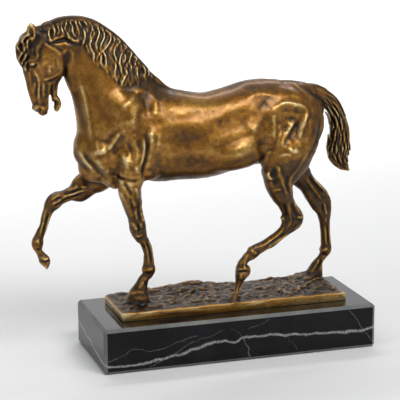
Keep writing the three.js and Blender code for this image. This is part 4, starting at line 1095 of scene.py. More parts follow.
@dataclass
class Tail:
    """The tail, with its strands and ragged end."""

    sections: Rows = (
        (66, 235.6, 61, 223, 0, 5),
        (76, 234.4, 71, 222.5, 0, 6),
        (87.4, 232.6, 82, 221.5, 0, 6),
        (100, 225.4, 90.8, 213, 0, 6.4),
        (110, 214.6, 96.6, 203.5, 0, 7.2),
        (115.8, 200.8, 98.6, 193.5, 0, 7.6),
        (118, 187, 97.6, 184, 0, 7.8),
        (118.8, 174.5, 96.8, 174.5, 0, 7.6),
        (118.6, 165.5, 99.4, 164, 0, 6.6),
        (119.6, 159.5, 106.4, 157.2, 0, 5),
        (119.8, 154, 114, 154, 0, 3),
    )
    strands: int = 13
    slack: float = 0.1

    def model(self, clay: Clay) -> None:
        """Joins the tail.

        Args:
            clay: The clay.
        """
        clay.join(Sweep(self.sections, 2), 1.2)

    def comb(self, relief: Relief) -> None:
        """Draws the tail's choppy strands.

        Args:
            relief: The relief of one side.
        """
        random = np.random.default_rng(6)
        rings = through_rows(self.sections, 3)[8:]
        for strand in range(self.strands):
            lane = 2.1 * (strand + 0.5) / self.strands - 1.05
            start, wave = random.uniform(0, 6.28), random.uniform(5.5, 8.5)
            first = 0
            while first < len(rings) - 4:
                last = min(len(rings), first + int(random.integers(7, 13)))
                for shift, height, soft in ((0.0, 1.2, 0.75), (1.0 / self.strands, -1.7, 0.9)):
                    line = []
                    for i in range(first, last):
                        ox, oz, ix, iz = rings[i][:4]
                        across = lane + shift + self.slack * math.sin(start + 6.283 * i / wave)
                        line.append(((ox + ix + across * (ox - ix)) / 2, (oz + iz + across * (oz - iz)) / 2))
                    relief.stroke(line, height * random.uniform(0.75, 1.2), soft)
                first = last - 1
                lane += random.uniform(-0.06, 0.06)


@dataclass
class Mane:
    """The mane's locks and the forelock."""

    crest: Line = (
        (-155, 297), (-146.6, 300), (-138, 301.2), (-127.7, 300.6), (-119, 298.3), (-110.6, 293), (-102, 286.8),
        (-96, 281.6), (-89, 273.8), (-80.5, 263.8), (-73.5, 256), (-67.4, 250.6), (-61, 245), (-56, 240.2),
        (-49, 236), (-40, 233.6),
    )
    crest_radius: float = 4.2
    reach_x: tuple[float, float] = (-159.0, -68.0)
    hem: Line = (
        (-160, 285), (-149, 286), (-143, 286.5), (-136, 283), (-130, 280.5), (-126, 276), (-122, 268), (-116, 261),
        (-108, 254), (-100, 246), (-96, 242.5), (-88, 243), (-80, 244), (-73, 246), (-68, 250), (-54, 238),
    )
    forelock: Sequence[Rows] = (
        ((-160, -1, 292, 4), (-168.6, -1, 289.8, 4.6), (-174.6, -1, 284, 4.6), (-178.6, -1, 277, 5), (-178.4, -1, 269.5, 4.2), (-176.4, -1, 262.5, 2.6), (-176, -1, 257.5, 1)),
        ((-166, -4, 289, 4), (-173.6, -5.4, 284.6, 4), (-176.4, -6, 277, 3.8), (-176.6, -5.6, 269.5, 3), (-175.6, -4.6, 263, 1.6)),
        ((-166, 4, 289, 4), (-173.6, 5.4, 284.6, 4), (-176.4, 6, 277, 3.8), (-176.6, 5.6, 269.5, 3), (-175.6, 4.6, 263, 1.6)),
    )
    curls: Sequence[Line] = (
        ((-172, 289.6), (-175.6, 288.4), (-178.7, 285), (-178.7, 282.6), (-178, 280.4)),
        ((-179.6, 284), (-182.6, 280), (-181.8, 277.3), (-180.2, 274.6)),
        ((-177.4, 280), (-178.2, 276.2), (-180.4, 273.4), (-181.8, 269.6), (-181, 266.4)),
        ((-176.6, 273.6), (-177.6, 270), (-179.4, 266.8), (-178.8, 262.6)),
        ((-174.8, 285.6), (-175.4, 281), (-175, 277)),
        ((-176, 267.6), (-177, 263), (-176.4, 258.6)),
    )
    front_edge: Line = ((-160, 283.6), (-154.4, 284.2), (-150, 285.5), (-146.6, 286.7), (-142.6, 287.5))
    front_tip: Line = ((-142.2, 287.4), (-138.5, 283.8), (-131.7, 282.1))
    front_shade: Line = ((-154, 281.6), (-148, 283.2), (-142.4, 283.8), (-138, 280.6))
    locks: Sequence[Line] = (
        ((-156.4, 293), (-157, 288.6), (-155.6, 283.4)),
        ((-153, 295), (-152, 291.3), (-153.4, 286.5)),
        ((-149.4, 296.5), (-148.2, 292), (-149.4, 288)),
        ((-145.4, 298), (-145.6, 293), (-144, 288.5)),
        ((-140.6, 300.5), (-141.2, 297), (-143, 293.3), (-141, 288.6), (-138.5, 285.7), (-134, 282.5)),
        ((-136.7, 299.5), (-137.7, 296.8), (-136.4, 294.6), (-137, 291.7), (-135.7, 288), (-134.4, 284.5)),
        ((-132.8, 299.5), (-133, 297), (-132, 293.7), (-131.5, 290.7)),
        ((-130, 299.5), (-129.7, 296.5), (-127, 291.6), (-126.5, 287), (-128, 281.5), (-130.3, 277)),
        ((-126, 298.5), (-123.7, 295.2), (-119.2, 291.4), (-118, 287.6), (-120.6, 284), (-122.7, 280.3), (-122.2, 276), (-120, 271.8), (-120.3, 266), (-117.5, 261)),
        ((-121.6, 297), (-119.7, 294.5), (-118, 291.3)),
        ((-119.2, 282), (-117, 279), (-116.4, 276)),
        ((-113.8, 294.5), (-114.2, 291.7), (-113.3, 287.7), (-115, 283.7), (-118, 279.5), (-117, 275.8)),
        ((-109.8, 292), (-110, 290), (-109, 287.3), (-110, 283.4), (-113, 279.6), (-114, 275.7)),
        ((-106.8, 290.3), (-104, 286.7), (-103.6, 282.5), (-106, 278.2), (-110.4, 274.4), (-115.3, 271), (-118, 266.5)),
        ((-103.5, 287.5), (-101.5, 285), (-100, 282.5), (-100.8, 280)),
        ((-110.3, 270.5), (-110, 266), (-109.8, 261)),
        ((-113.6, 269.6), (-114.3, 265.4), (-113.6, 262)),
        ((-96.5, 282.5), (-94.8, 280), (-96.7, 277.6), (-100.2, 274.7), (-101.8, 270.7), (-100.7, 265.6), (-101.5, 259.6), (-102.8, 255.5), (-102, 250)),
        ((-91.7, 277.2), (-89.5, 275), (-91.3, 272.6), (-95.6, 269), (-97.5, 263.5), (-96.3, 258.7), (-97.6, 254.5)),
        ((-91.8, 270), (-91.4, 265.8), (-93.3, 262)),
        ((-86.6, 271.5), (-85, 268.6), (-87.6, 265.2), (-88, 261.5), (-86.7, 258.4), (-87.5, 253)),
        ((-92.8, 257.4), (-92, 253.8), (-93.6, 250.8), (-96.7, 247), (-98.3, 243)),
        ((-82.8, 266.5), (-80.6, 264.5), (-82.6, 261.8), (-81.7, 258)),
        ((-78.8, 260.8), (-81.5, 256), (-82, 252), (-80, 247.3)),
        ((-75.4, 257.6), (-74, 256), (-74, 253), (-76.4, 249)),
        ((-71.4, 254), (-69.8, 251.6), (-71.2, 249)),
    )
    count: int = 38
    spread: float = 1.15
    seed: int = 4
    shortness: float = 0.42
    wave: float = 22.0

    def course(self, x: float, top: float, fall: float, random: np.random.Generator) -> Line:
        """The wavy course of a lock that hangs from the crest.

        Args:
            x: Where it leaves the crest.
            top: The crest's height there.
            fall: How far it hangs down.
            random: Source of its unevenness.

        Returns:
            x and z of its points.
        """
        behind = min(1.0, max(0.0, (x + 130) / 20))
        wave = self.wave + 1.5 * random.uniform(-1, 1)
        sway = (2.1 + 1.1 * behind) * random.uniform(0.8, 1.2)
        drift = 0.16 - 0.2 * behind + random.uniform(-0.04, 0.04)
        start = random.uniform(-0.9, 0.9)
        points = []
        for down in np.linspace(0, fall, max(4, round(fall / 2.5) + 1)):
            swing = sway * math.exp(-down / 40) * math.sin(start + 6.283 * down / wave)
            points.append((x + swing + drift * down - sway * math.sin(start) * math.exp(-down / 3), top - down))
        return points

    def comb(self, relief: Relief, reach: float, strength: float) -> None:
        """Draws the hair on one side of the neck.

        Args:
            relief: The relief of that side.
            reach: The hair's length, as a share of the way to the hem.
            strength: How strongly it is carved.
        """
        random = np.random.default_rng(self.seed)
        crest, hem = np.asarray(self.crest), np.asarray(self.hem)
        x, z = relief.x[:, None], relief.z[None, :]
        top, low = (np.interp(relief.x, line[:, 0], line[:, 1])[:, None] for line in (crest, hem))
        ragged = 1.3 * np.sin(relief.x / 1.15)[:, None] + 0.9 * np.sin(relief.x / 0.63 + 2)[:, None]
        low = top - (top - low) * reach + ragged * (x > -142)
        first, last = self.reach_x
        ends = np.clip((x - first) / 9, 0, 1) * np.clip((last + 1 - x) / 4, 0, 1)
        relief.heights += 1.2 * np.clip((z - low) / 3.0, 0, 1) * ends
        for i in range(self.count):
            share = (i + 0.5 + random.uniform(-0.45, 0.45)) / self.count
            start = first + 2 + (last - first - 3) * share
            height = np.interp(start, crest[:, 0], crest[:, 1]) - 0.3
            fall = (height - np.interp(start, hem[:, 0], hem[:, 1])) * reach + random.uniform(-2.5, 2.5)
            fade = strength * min(1.0, 0.7 + (start - first) / 26)
            strands = ((0.0, 1.25, 0.75), (self.spread, 0.55, 0.7), (-0.7, 0.6, 1.7), (-self.spread, -1.15, 0.9))
            for shift, rise, soft in strands:
                line = self.course(start + shift, height, max(6.0, fall * random.uniform(0.75, 1.05)), random)
                relief.stroke(line, fade * rise * random.uniform(0.6, 1.2), soft)

    def model(self, clay: Clay) -> None:
        """Joins the crest's ridge and the forelock's mass.

        Args:
            clay: The clay.
        """
        radius = self.crest_radius
        clay.join(Cord([(x, 0, z + 0.4 - radius, radius) for x, z in self.crest]), 3)
        for rows in self.forelock:
            clay.join(Cord(rows), 1.5)

    def carve(self, near: Relief, far: Relief) -> None:
        """Draws the mane and the forelock.

        Args:
            near: The relief of the near side.
            far: The relief of the far side.
        """
        self.comb(near, 1.0, 0.5)
        self.comb(far, self.shortness, 1.0)
        for lock in self.locks:
            near.stroke([(x + 1.6, z) for x, z in lock], -1.0, 1.0)
            near.stroke([(x - 1.3, z) for x, z in lock], -0.6, 0.9)
            near.stroke(lock, 0.9, 2.1)
            near.stroke(lock, 1.1, 0.95)
        near.stroke(self.front_edge, 1.7, 1.5)
        near.stroke(self.front_tip, 1.5, 1.1)
        near.stroke(self.front_shade, -2.0, 1.6)
        for relief in (near, far):
            for curl in self.curls:
                relief.stroke(curl, 1.3, 0.9)
                relief.stroke([(x + 2, z - 0.6) for x, z in curl], -1.5, 1.1)


@dataclass
class Earth:
    """The ground plate: a slab whose top is modelled as rough earth."""

    length: float = 208.0
    width: float = 62.0
    bottom: float = 40.0
    rim: float = 46.8
    mounds: Rows = (
        (-26, 25, 34, 4.6), (84, 24, 26, 2.6), (-84, -9, 17, 3.4),
        (2, -23, 9, 2.2), (92, 18, 15, 2.4), (-70, 12, 20, 1.4),
    )

    @staticmethod
    def lumps(x: Array, y: Array) -> Array:
        """Smooth noise of the plane.

        Args:
            x: Places along x, one lump a unit.
            y: Places along y.

        Returns:
            Heights from -1 to 1.
        """
        i, j = np.floor(x), np.floor(y)

        def pick(a: Array, b: Array) -> Array:
            """A repeatable number from -1 to 1 for each whole place."""
            wave = np.sin(a * 127.1 + b * 311.7) * 43758.5453
            return 2 * (wave - np.floor(wave)) - 1

        u, v = ((t * t * (3 - 2 * t)) for t in (x - i, y - j))
        near = pick(i, j) * (1 - u) + pick(i + 1, j) * u
        far = pick(i, j + 1) * (1 - u) + pick(i + 1, j + 1) * u
        return near * (1 - v) + far * v

    def height(self, x: Array, y: Array) -> Array:
        """Height of the earth's top.

        Args:
            x: Places along x.
            y: Places along y.

        Returns:
            The heights.
        """
        front = y + self.width / 2
        ends = self.length / 2 - np.abs(x)
        back = self.width / 2 - y
        edge = np.clip(np.minimum(np.minimum(front / 9, ends / 8), 0.35 + back / 8), 0, 1)
        rise = 1.4 + 1.6 * front / self.width
        for mound_x, mound_y, radius, top in self.mounds:
            rise = rise + top * np.exp(-((x - mound_x) ** 2 + (y - mound_y) ** 2) / (0.5 * radius**2))
        bend = 6 * self.lumps(x / 21 + 3, y / 17)
        ridges = 1 - np.abs(self.lumps((x + bend) / 12 + 40, (y - bend) / 7))
        rise = rise + 1.2 * self.lumps(x / 13, y / 11) + 1.9 * (ridges - 0.5)
        rise = rise + 0.9 * self.lumps(x / 4.6 + 9, (y + bend) / 3.2 + 5)
        rise = rise + 0.5 * self.lumps(x / 2.6 + 2, (y - bend) / 2.1 + 8)
        lip = 0.9 * np.exp(-(((front - 1.2) / 1.3) ** 2)) * (0.75 + 0.5 * self.lumps(x / 9, 0 * y + 7))
        return self.rim + np.maximum(0, rise) * edge + lip

    def model(self, clay: Clay, blend: float) -> None:
        """Joins the plate, with a fillet round the hooves.

        Args:
            clay: The clay.
            blend: Width of the fillet.
        """
        x, y, z = (
            axis.reshape([-1 if k == way else 1 for k in range(3)]) for way, axis in enumerate(clay.axes)
        )
        above = (z - self.height(x, y)) * 0.85
        ends, sides = np.abs(x) - self.length / 2, np.abs(y) - self.width / 2
        slab = np.maximum(np.maximum(above, self.bottom - z), np.maximum(ends, sides))
        clay.field[:] = smooth_min(clay.field, slab.astype(np.float32), blend)


# Finishes


def linear(colour: str) -> tuple[float, float, float, float]:
    """An sRGB hex colour as linear light.

    Args:
        colour: The colour, such as "#6b4a1e".

    Returns:
        Red, green, blue and alpha.
    """
    parts = [int(colour[k : k + 2], 16) / 255 for k in (1, 3, 5)]
    red, green, blue = (p / 12.92 if p <= 0.04045 else ((p + 0.055) / 1.055) ** 2.4 for p in parts)
    return red, green, blue, 1.0


def add_node(tree: bpy.types.NodeTree, kind: str, settings: dict | None = None, links: dict | None = None) -> bpy.types.Node:
    """Adds a node, with its settings and what feeds it.

    Args:
        tree: The node tree.
        kind: The node's type.
        settings: Values by property name, or by input name or number.
        links: Output sockets by the name or number of the input they feed.

    Returns:
        The node.
    """
    node = tree.nodes.new(kind)
    for name, value in (settings or {}).items():
        if isinstance(name, str) and hasattr(node, name):
            setattr(node, name, value)
        else:
            node.inputs[name].default_value = value
    for name, socket in (links or {}).items():
        tree.links.new(socket, node.inputs[name])
    return node


def new_material(name: str) -> tuple[bpy.types.Material, bpy.types.NodeTree]:
    """An empty node material.

    Args:
        name: Its name.

    Returns:
        The material and its node tree.
    """
    material = bpy.data.materials.new(name)
    material.use_nodes = True
    material.node_tree.nodes.clear()
    return material, material.node_tree


def colour_ramp(tree: bpy.types.NodeTree, factor: bpy.types.NodeSocket, stops: Sequence[tuple[float, str]]) -> bpy.types.Node:
    """A colour ramp.

    Args:
        tree: The node tree.
        factor: What it is read by.
        stops: Places from 0 to 1 with their hex colours.

    Returns:
        The ramp's node.
    """
    ramp = add_node(tree, "ShaderNodeValToRGB", links={"Fac": factor})
    elements = ramp.color_ramp.elements
    while len(elements) < len(stops):
        elements.new(0.5)
    for element, (place, colour) in zip(elements, stops):
        element.position = place
        element.color = linear(colour)
    return ramp


@dataclass(frozen=True)
class BronzePatina:
    """Cast bronze with a hot brown patina, waxed and rubbed back.

    The rubbed forms show warm gold metal, the hollows keep the dark brown patina, and wax gives an even gloss. A map
    kept on the mesh adds wear, and also lightens some places as painted highlights and darkens others as painted shade.
    """

    hollow: str = "#1f1912"
    low: str = "#4b361c"
    skin: str = "#7e5214"
    proud: str = "#9b7430"
    rubbed: str = "#d2bb88"
    roughness: float = 0.4
    cloud_mm: float = 17.0
    fleck_mm: float = 1.6
    grit_mm: float = 0.9

    def material(self) -> bpy.types.Material:
        """Builds the material.

        Returns:
            The material.
        """
        material, tree = new_material("Patinated bronze, waxed")
        place = add_node(tree, "ShaderNodeTexCoord").outputs["Object"]
        fine = add_node(tree, "ShaderNodeAttribute", {"attribute_name": "fine_relief"}).outputs["Fac"]
        broad = add_node(tree, "ShaderNodeAttribute", {"attribute_name": "broad_relief"}).outputs["Fac"]
        # Map of wear together with painted highlights and painted shade, which lightens or darkens the patina below.
        wear_and_painted_light = add_node(tree, "ShaderNodeAttribute", {"attribute_name": "wear_and_painted_light"}).outputs["Fac"]
        clouds = add_node(
            tree, "ShaderNodeTexNoise", {"Scale": 1 / (self.cloud_mm * MM), "Detail": 4.0, "Roughness": 0.6},
            {"Vector": place},
        )
        flecks = add_node(
            tree, "ShaderNodeTexNoise", {"Scale": 1 / (self.fleck_mm * MM), "Detail": 3.0, "Roughness": 0.7},
            {"Vector": place},
        )
        wear_and_light_part = add_node(tree, "ShaderNodeMath", {"operation": "MULTIPLY_ADD", 1: 0.34, 2: 0.2}, {0: wear_and_painted_light})
        fine_part = add_node(
            tree, "ShaderNodeMath", {"operation": "MULTIPLY_ADD", 1: 0.8}, {0: fine, 2: wear_and_light_part.outputs[0]}
        )
        broad_part = add_node(
            tree, "ShaderNodeMath", {"operation": "MULTIPLY_ADD", 1: 0.85}, {0: broad, 2: fine_part.outputs[0]}
        )
        cloud_part = add_node(
            tree, "ShaderNodeMath", {"operation": "MULTIPLY_ADD", 1: 0.3}, {0: clouds.outputs["Fac"], 2: broad_part.outputs[0]}
        )
        worn = add_node(
            tree, "ShaderNodeMath", {"operation": "MULTIPLY_ADD", 1: 0.36}, {0: flecks.outputs["Fac"], 2: cloud_part.outputs[0]}
        )
        centred = add_node(tree, "ShaderNodeMath", {"operation": "SUBTRACT", 1: 0.33, "use_clamp": True}, {0: worn.outputs[0]})
        stops = [(0.12, self.hollow), (0.36, self.low), (0.52, self.skin), (0.68, self.proud), (0.9, self.rubbed)]
        colour = colour_ramp(tree, centred.outputs[0], stops)
        grit = add_node(
            tree, "ShaderNodeTexNoise", {"Scale": 1 / (self.grit_mm * MM), "Detail": 2.0}, {"Vector": place}
        )
        dents = add_node(
            tree, "ShaderNodeTexNoise", {"Scale": 1 / (6 * MM), "Detail": 2.0}, {"Vector": place}
        )
        height = add_node(
            tree, "ShaderNodeMath", {"operation": "MULTIPLY_ADD", 1: 0.36}, {0: grit.outputs["Fac"], 2: dents.outputs["Fac"]}
        )
        bump = add_node(tree, "ShaderNodeBump", {"Strength": 0.6, "Distance": 0.5 * MM}, {"Height": height.outputs[0]})
        gloss = add_node(
            tree, "ShaderNodeMapRange",
            {"From Min": 0.35, "From Max": 0.65, "To Min": self.roughness - 0.05, "To Max": self.roughness + 0.09},
            {"Value": flecks.outputs["Fac"]},
        )
        bare = add_node(
            tree, "ShaderNodeMapRange", {"From Min": 0.3, "From Max": 0.8, "To Min": 0.72, "To Max": 0.98},
            {"Value": centred.outputs[0]},
        )
        wax = add_node(
            tree, "ShaderNodeMapRange", {"From Min": 0.3, "From Max": 0.8, "To Min": 0.1, "To Max": 0.5},
            {"Value": centred.outputs[0]},
        )
        shader = add_node(
            tree, "ShaderNodeBsdfPrincipled", {"Coat Roughness": 0.2},
            {
                "Base Color": colour.outputs["Color"], "Metallic": bare.outputs["Result"],
                "Roughness": gloss.outputs["Result"], "Normal": bump.outputs["Normal"],
                "Coat Weight": wax.outputs["Result"],
            },
        )
        add_node(tree, "ShaderNodeOutputMaterial", links={"Surface": shader.outputs["BSDF"]})
        return material


class Vein(NamedTuple):
    """A vein in the marble: its course over the front face, half its width and how white it is.

    The course is x and z of its points, or z and x where it is upright.
    """

    course: Line
    width: float
    strength: float
    upright: bool = False


@dataclass(frozen=True)
class BlackMarble:
    """Black marble with white calcite veins, polished, with its bevels left honed.

    The polish mirrors the bronze, the honed bevels scatter light and look grey.
    """

    ground: str = "#08080a"
    cloud: str = "#161719"
    vein: str = "#9fa09e"
    honed: str = "#585a5a"
    veins: Sequence[Vein] = (
        Vein(((-125, 8.4), (-103, 6.8), (-83, 8.9), (-70, 10.6), (-42, 15.8), (-19, 20.3), (-8, 18.6), (0, 22.6), (9, 21.2), (37, 20.3), (74, 17.9), (99, 17.4), (125, 17.6)), 1.0, 0.95),
        Vein(((-122, 11.6), (-105, 18.7), (-94, 21.2), (-86, 19), (-77, 19), (-61, 22.7), (-42, 27.6)), 0.3, 0.3),
        Vein(((-84, 4.6), (-64, 13.3), (-51, 19.5), (-33, 25.4), (-20, 29)), 0.3, 0.28),
        Vein(((6, 29.8), (15, 32.6), (24, 36.4)), 0.25, 0.25),
        Vein(((34.6, 99.5), (23.3, 109), (10.9, 118.4), (3.1, 124.1)), 0.3, 0.4, True),
        Vein(((22, 1), (15.6, 2.1), (9.8, 5.8), (6.2, 5.4), (1, 7.3)), 0.4, 0.5, True),
        Vein(((16.2, 41.7), (12, 46.4), (5, 51.1)), 0.25, 0.25, True),
        Vein(((31.4, -10.8), (27.1, -3.5), (23, 0.2)), 0.25, 0.3, True),
    )
    vein_slope: float = 0.136
    grain_mm: float = 1.6

    def material(self, honed: bool) -> bpy.types.Material:
        """Builds the material of the faces or of the bevels.

        Args:
            honed: True for the bevels.

        Returns:
            The material.
        """
        material, tree = new_material("Black marble, honed" if honed else "Black marble, polished")
        place = add_node(tree, "ShaderNodeTexCoord").outputs["Object"]
        warp = add_node(tree, "ShaderNodeTexNoise", {"Scale": 1 / (22 * MM), "Detail": 5.0, "Roughness": 0.62}, {"Vector": place})
        shift = add_node(tree, "ShaderNodeVectorMath", {"operation": "SUBTRACT", 1: (0.5, 0.5, 0.5)}, {0: warp.outputs["Color"]})
        moved = add_node(
            tree, "ShaderNodeVectorMath", {"operation": "MULTIPLY_ADD", 1: (9 * MM, 9 * MM, 9 * MM)},
            {0: shift.outputs[0], 2: place},
        )
        parts = add_node(tree, "ShaderNodeSeparateXYZ", links={0: moved.outputs[0]})
        veins = None
        for vein in self.veins:
            one = self.draw_vein(tree, parts, vein)
            veins = one if veins is None else add_node(
                tree, "ShaderNodeMath", {"operation": "MAXIMUM"}, {0: veins, 1: one}
            ).outputs[0]
        clouds = add_node(tree, "ShaderNodeTexNoise", {"Scale": 1 / (30 * MM), "Detail": 6.0, "Roughness": 0.7}, {"Vector": moved.outputs[0]})
        ground = colour_ramp(
            tree, clouds.outputs["Fac"],
            [(0.35, self.honed if honed else self.ground), (0.75, "#777974" if honed else self.cloud)],
        )
        grain = add_node(
            tree, "ShaderNodeTexNoise", {"Scale": 1 / (self.grain_mm * MM), "Detail": 4.0, "Roughness": 0.7}, {"Vector": place}
        )
        thin = add_node(
            tree, "ShaderNodeMapRange", {"From Min": 0.34, "From Max": 0.62, "To Min": 0.25, "To Max": 1.0},
            {"Value": grain.outputs["Fac"]},
        )
        veil = add_node(tree, "ShaderNodeMath", {"operation": "MULTIPLY"}, {0: veins, 1: thin.outputs["Result"]})
        colour = add_node(
            tree, "ShaderNodeMix", {"data_type": "RGBA", 7: linear(self.vein)},
            {0: veil.outputs[0], 6: ground.outputs["Color"]},
        )
        bump = add_node(
            tree, "ShaderNodeBump", {"Strength": 0.5 if honed else 0.02, "Distance": 0.3 * MM}, {"Height": grain.outputs["Fac"]}
        )
        shader = add_node(
            tree, "ShaderNodeBsdfPrincipled", {"Roughness": 0.5 if honed else 0.1, "IOR": 1.27},
            {"Base Color": colour.outputs[2], "Normal": bump.outputs["Normal"]},
        )
        add_node(tree, "ShaderNodeOutputMaterial", links={"Surface": shader.outputs["BSDF"]})
        return material

    def draw_vein(self, tree: bpy.types.NodeTree, parts: bpy.types.Node, vein: Vein) -> bpy.types.NodeSocket:
        """A vein that runs back through the block, rising as it goes.

        Args:
            tree: The node tree.
            parts: Node that gives x, y and z of the warped place in the block.
            vein: The vein's course over the front face.

        Returns:
            How much of the vein shows, from 0 to 1.
        """
        back = add_node(
            tree, "ShaderNodeMath", {"operation": "MULTIPLY_ADD", 1: -self.vein_slope, 2: -0.05 * self.vein_slope},
            {0: parts.outputs["Y"]},
        )
        level = add_node(tree, "ShaderNodeMath", {"operation": "ADD"}, {0: parts.outputs["Z"], 1: back.outputs[0]})
        along, across = parts.outputs["X"], level.outputs[0]
        if vein.upright:
            along, across = across, along
        starts, places = [point[0] for point in vein.course], [point[1] for point in vein.course]
        low, high = min(starts), max(starts)
        bottom, top = min(places) - 1, max(places) + 1
        share = add_node(
            tree, "ShaderNodeMapRange", {"From Min": low * MM, "From Max": high * MM}, {"Value": along}
        )
        curve = add_node(tree, "ShaderNodeFloatCurve", links={"Value": share.outputs["Result"]})
        points = curve.mapping.curves[0].points
        while len(points) < len(vein.course):
            points.new(0.5, 0.5)
        for point, (start, place) in zip(points, sorted(vein.course)):
            point.location = ((start - low) / (high - low), (place - bottom) / (top - bottom))
        curve.mapping.update()
        middle = add_node(
            tree, "ShaderNodeMath", {"operation": "MULTIPLY_ADD", 1: (bottom - top) * MM, 2: -bottom * MM}, {0: curve.outputs[0]}
        )
        off = add_node(tree, "ShaderNodeMath", {"operation": "ADD"}, {0: across, 1: middle.outputs[0]})
        size = add_node(tree, "ShaderNodeMath", {"operation": "ABSOLUTE"}, {0: off.outputs[0]})
        shows = add_node(
            tree, "ShaderNodeMapRange",
            {"From Min": 0.2 * vein.width * MM, "From Max": 1.6 * vein.width * MM, "To Min": vein.strength, "To Max": 0.0},
            {"Value": size.outputs[0]},
        )
        for edge, inside in ((low, 2), (high, -2)):
            fade = add_node(
                tree, "ShaderNodeMapRange", {"From Min": (edge - inside) * MM, "From Max": edge * MM}, {"Value": along}
            )
            if abs(edge) < 125:
                shows = add_node(tree, "ShaderNodeMath", {"operation": "MULTIPLY"}, {0: shows.outputs[0], 1: fade.outputs["Result"]})
        return shows.outputs[0]


@dataclass(frozen=True)
class PaperSweep:
    """Matt white background paper."""

    white: str = "#dadad9"
    fibre_mm: float = 2.0

    def material(self) -> bpy.types.Material:
        """Builds the material.

        Returns:
            The material.
        """
        material, tree = new_material("White background paper")
        place = add_node(tree, "ShaderNodeTexCoord").outputs["Object"]
        fibre = add_node(tree, "ShaderNodeTexNoise", {"Scale": 1 / (self.fibre_mm * MM)}, {"Vector": place})
        bump = add_node(tree, "ShaderNodeBump", {"Strength": 0.02, "Distance": 0.1 * MM}, {"Height": fibre.outputs["Fac"]})
        shader = add_node(
            tree, "ShaderNodeBsdfPrincipled", {"Base Color": linear(self.white), "Roughness": 0.9},
            {"Normal": bump.outputs["Normal"]},
        )
        add_node(tree, "ShaderNodeOutputMaterial", links={"Surface": shader.outputs["BSDF"]})
        return material


# Pieces


def new_piece(name: str, points: Array, faces: Array) -> bpy.types.Object:
    """An object from points in millimetres and faces with the same number of corners.

    Args:
        name: The piece's name.
        points: Its points, one a row.
        faces: Its faces as numbers of points, one a row.

    Returns:
        The object.
    """
    corners = faces.shape[1]
    mesh = bpy.data.meshes.new(name)
    mesh.vertices.add(len(points))
    mesh.vertices.foreach_set("co", (points * MM).astype(np.float32).ravel())
    mesh.loops.add(faces.size)
    mesh.loops.foreach_set("vertex_index", faces.astype(np.int32).ravel())
    mesh.polygons.add(len(faces))
    mesh.polygons.foreach_set("loop_start", np.arange(0, faces.size, corners, dtype=np.int32))
    mesh.update(calc_edges=True)
    mesh.validate()
    piece = bpy.data.objects.new(name, mesh)
    bpy.context.collection.objects.link(piece)
    return piece


def apply_modifiers(piece: bpy.types.Object) -> None:
    """Makes a piece's modifiers part of its mesh.

    Args:
        piece: The piece.
    """
    graph = bpy.context.evaluated_depsgraph_get()
    mesh = bpy.data.meshes.new_from_object(piece.evaluated_get(graph))
    piece.modifiers.clear()
    old, piece.data = piece.data, mesh
    bpy.data.meshes.remove(old)


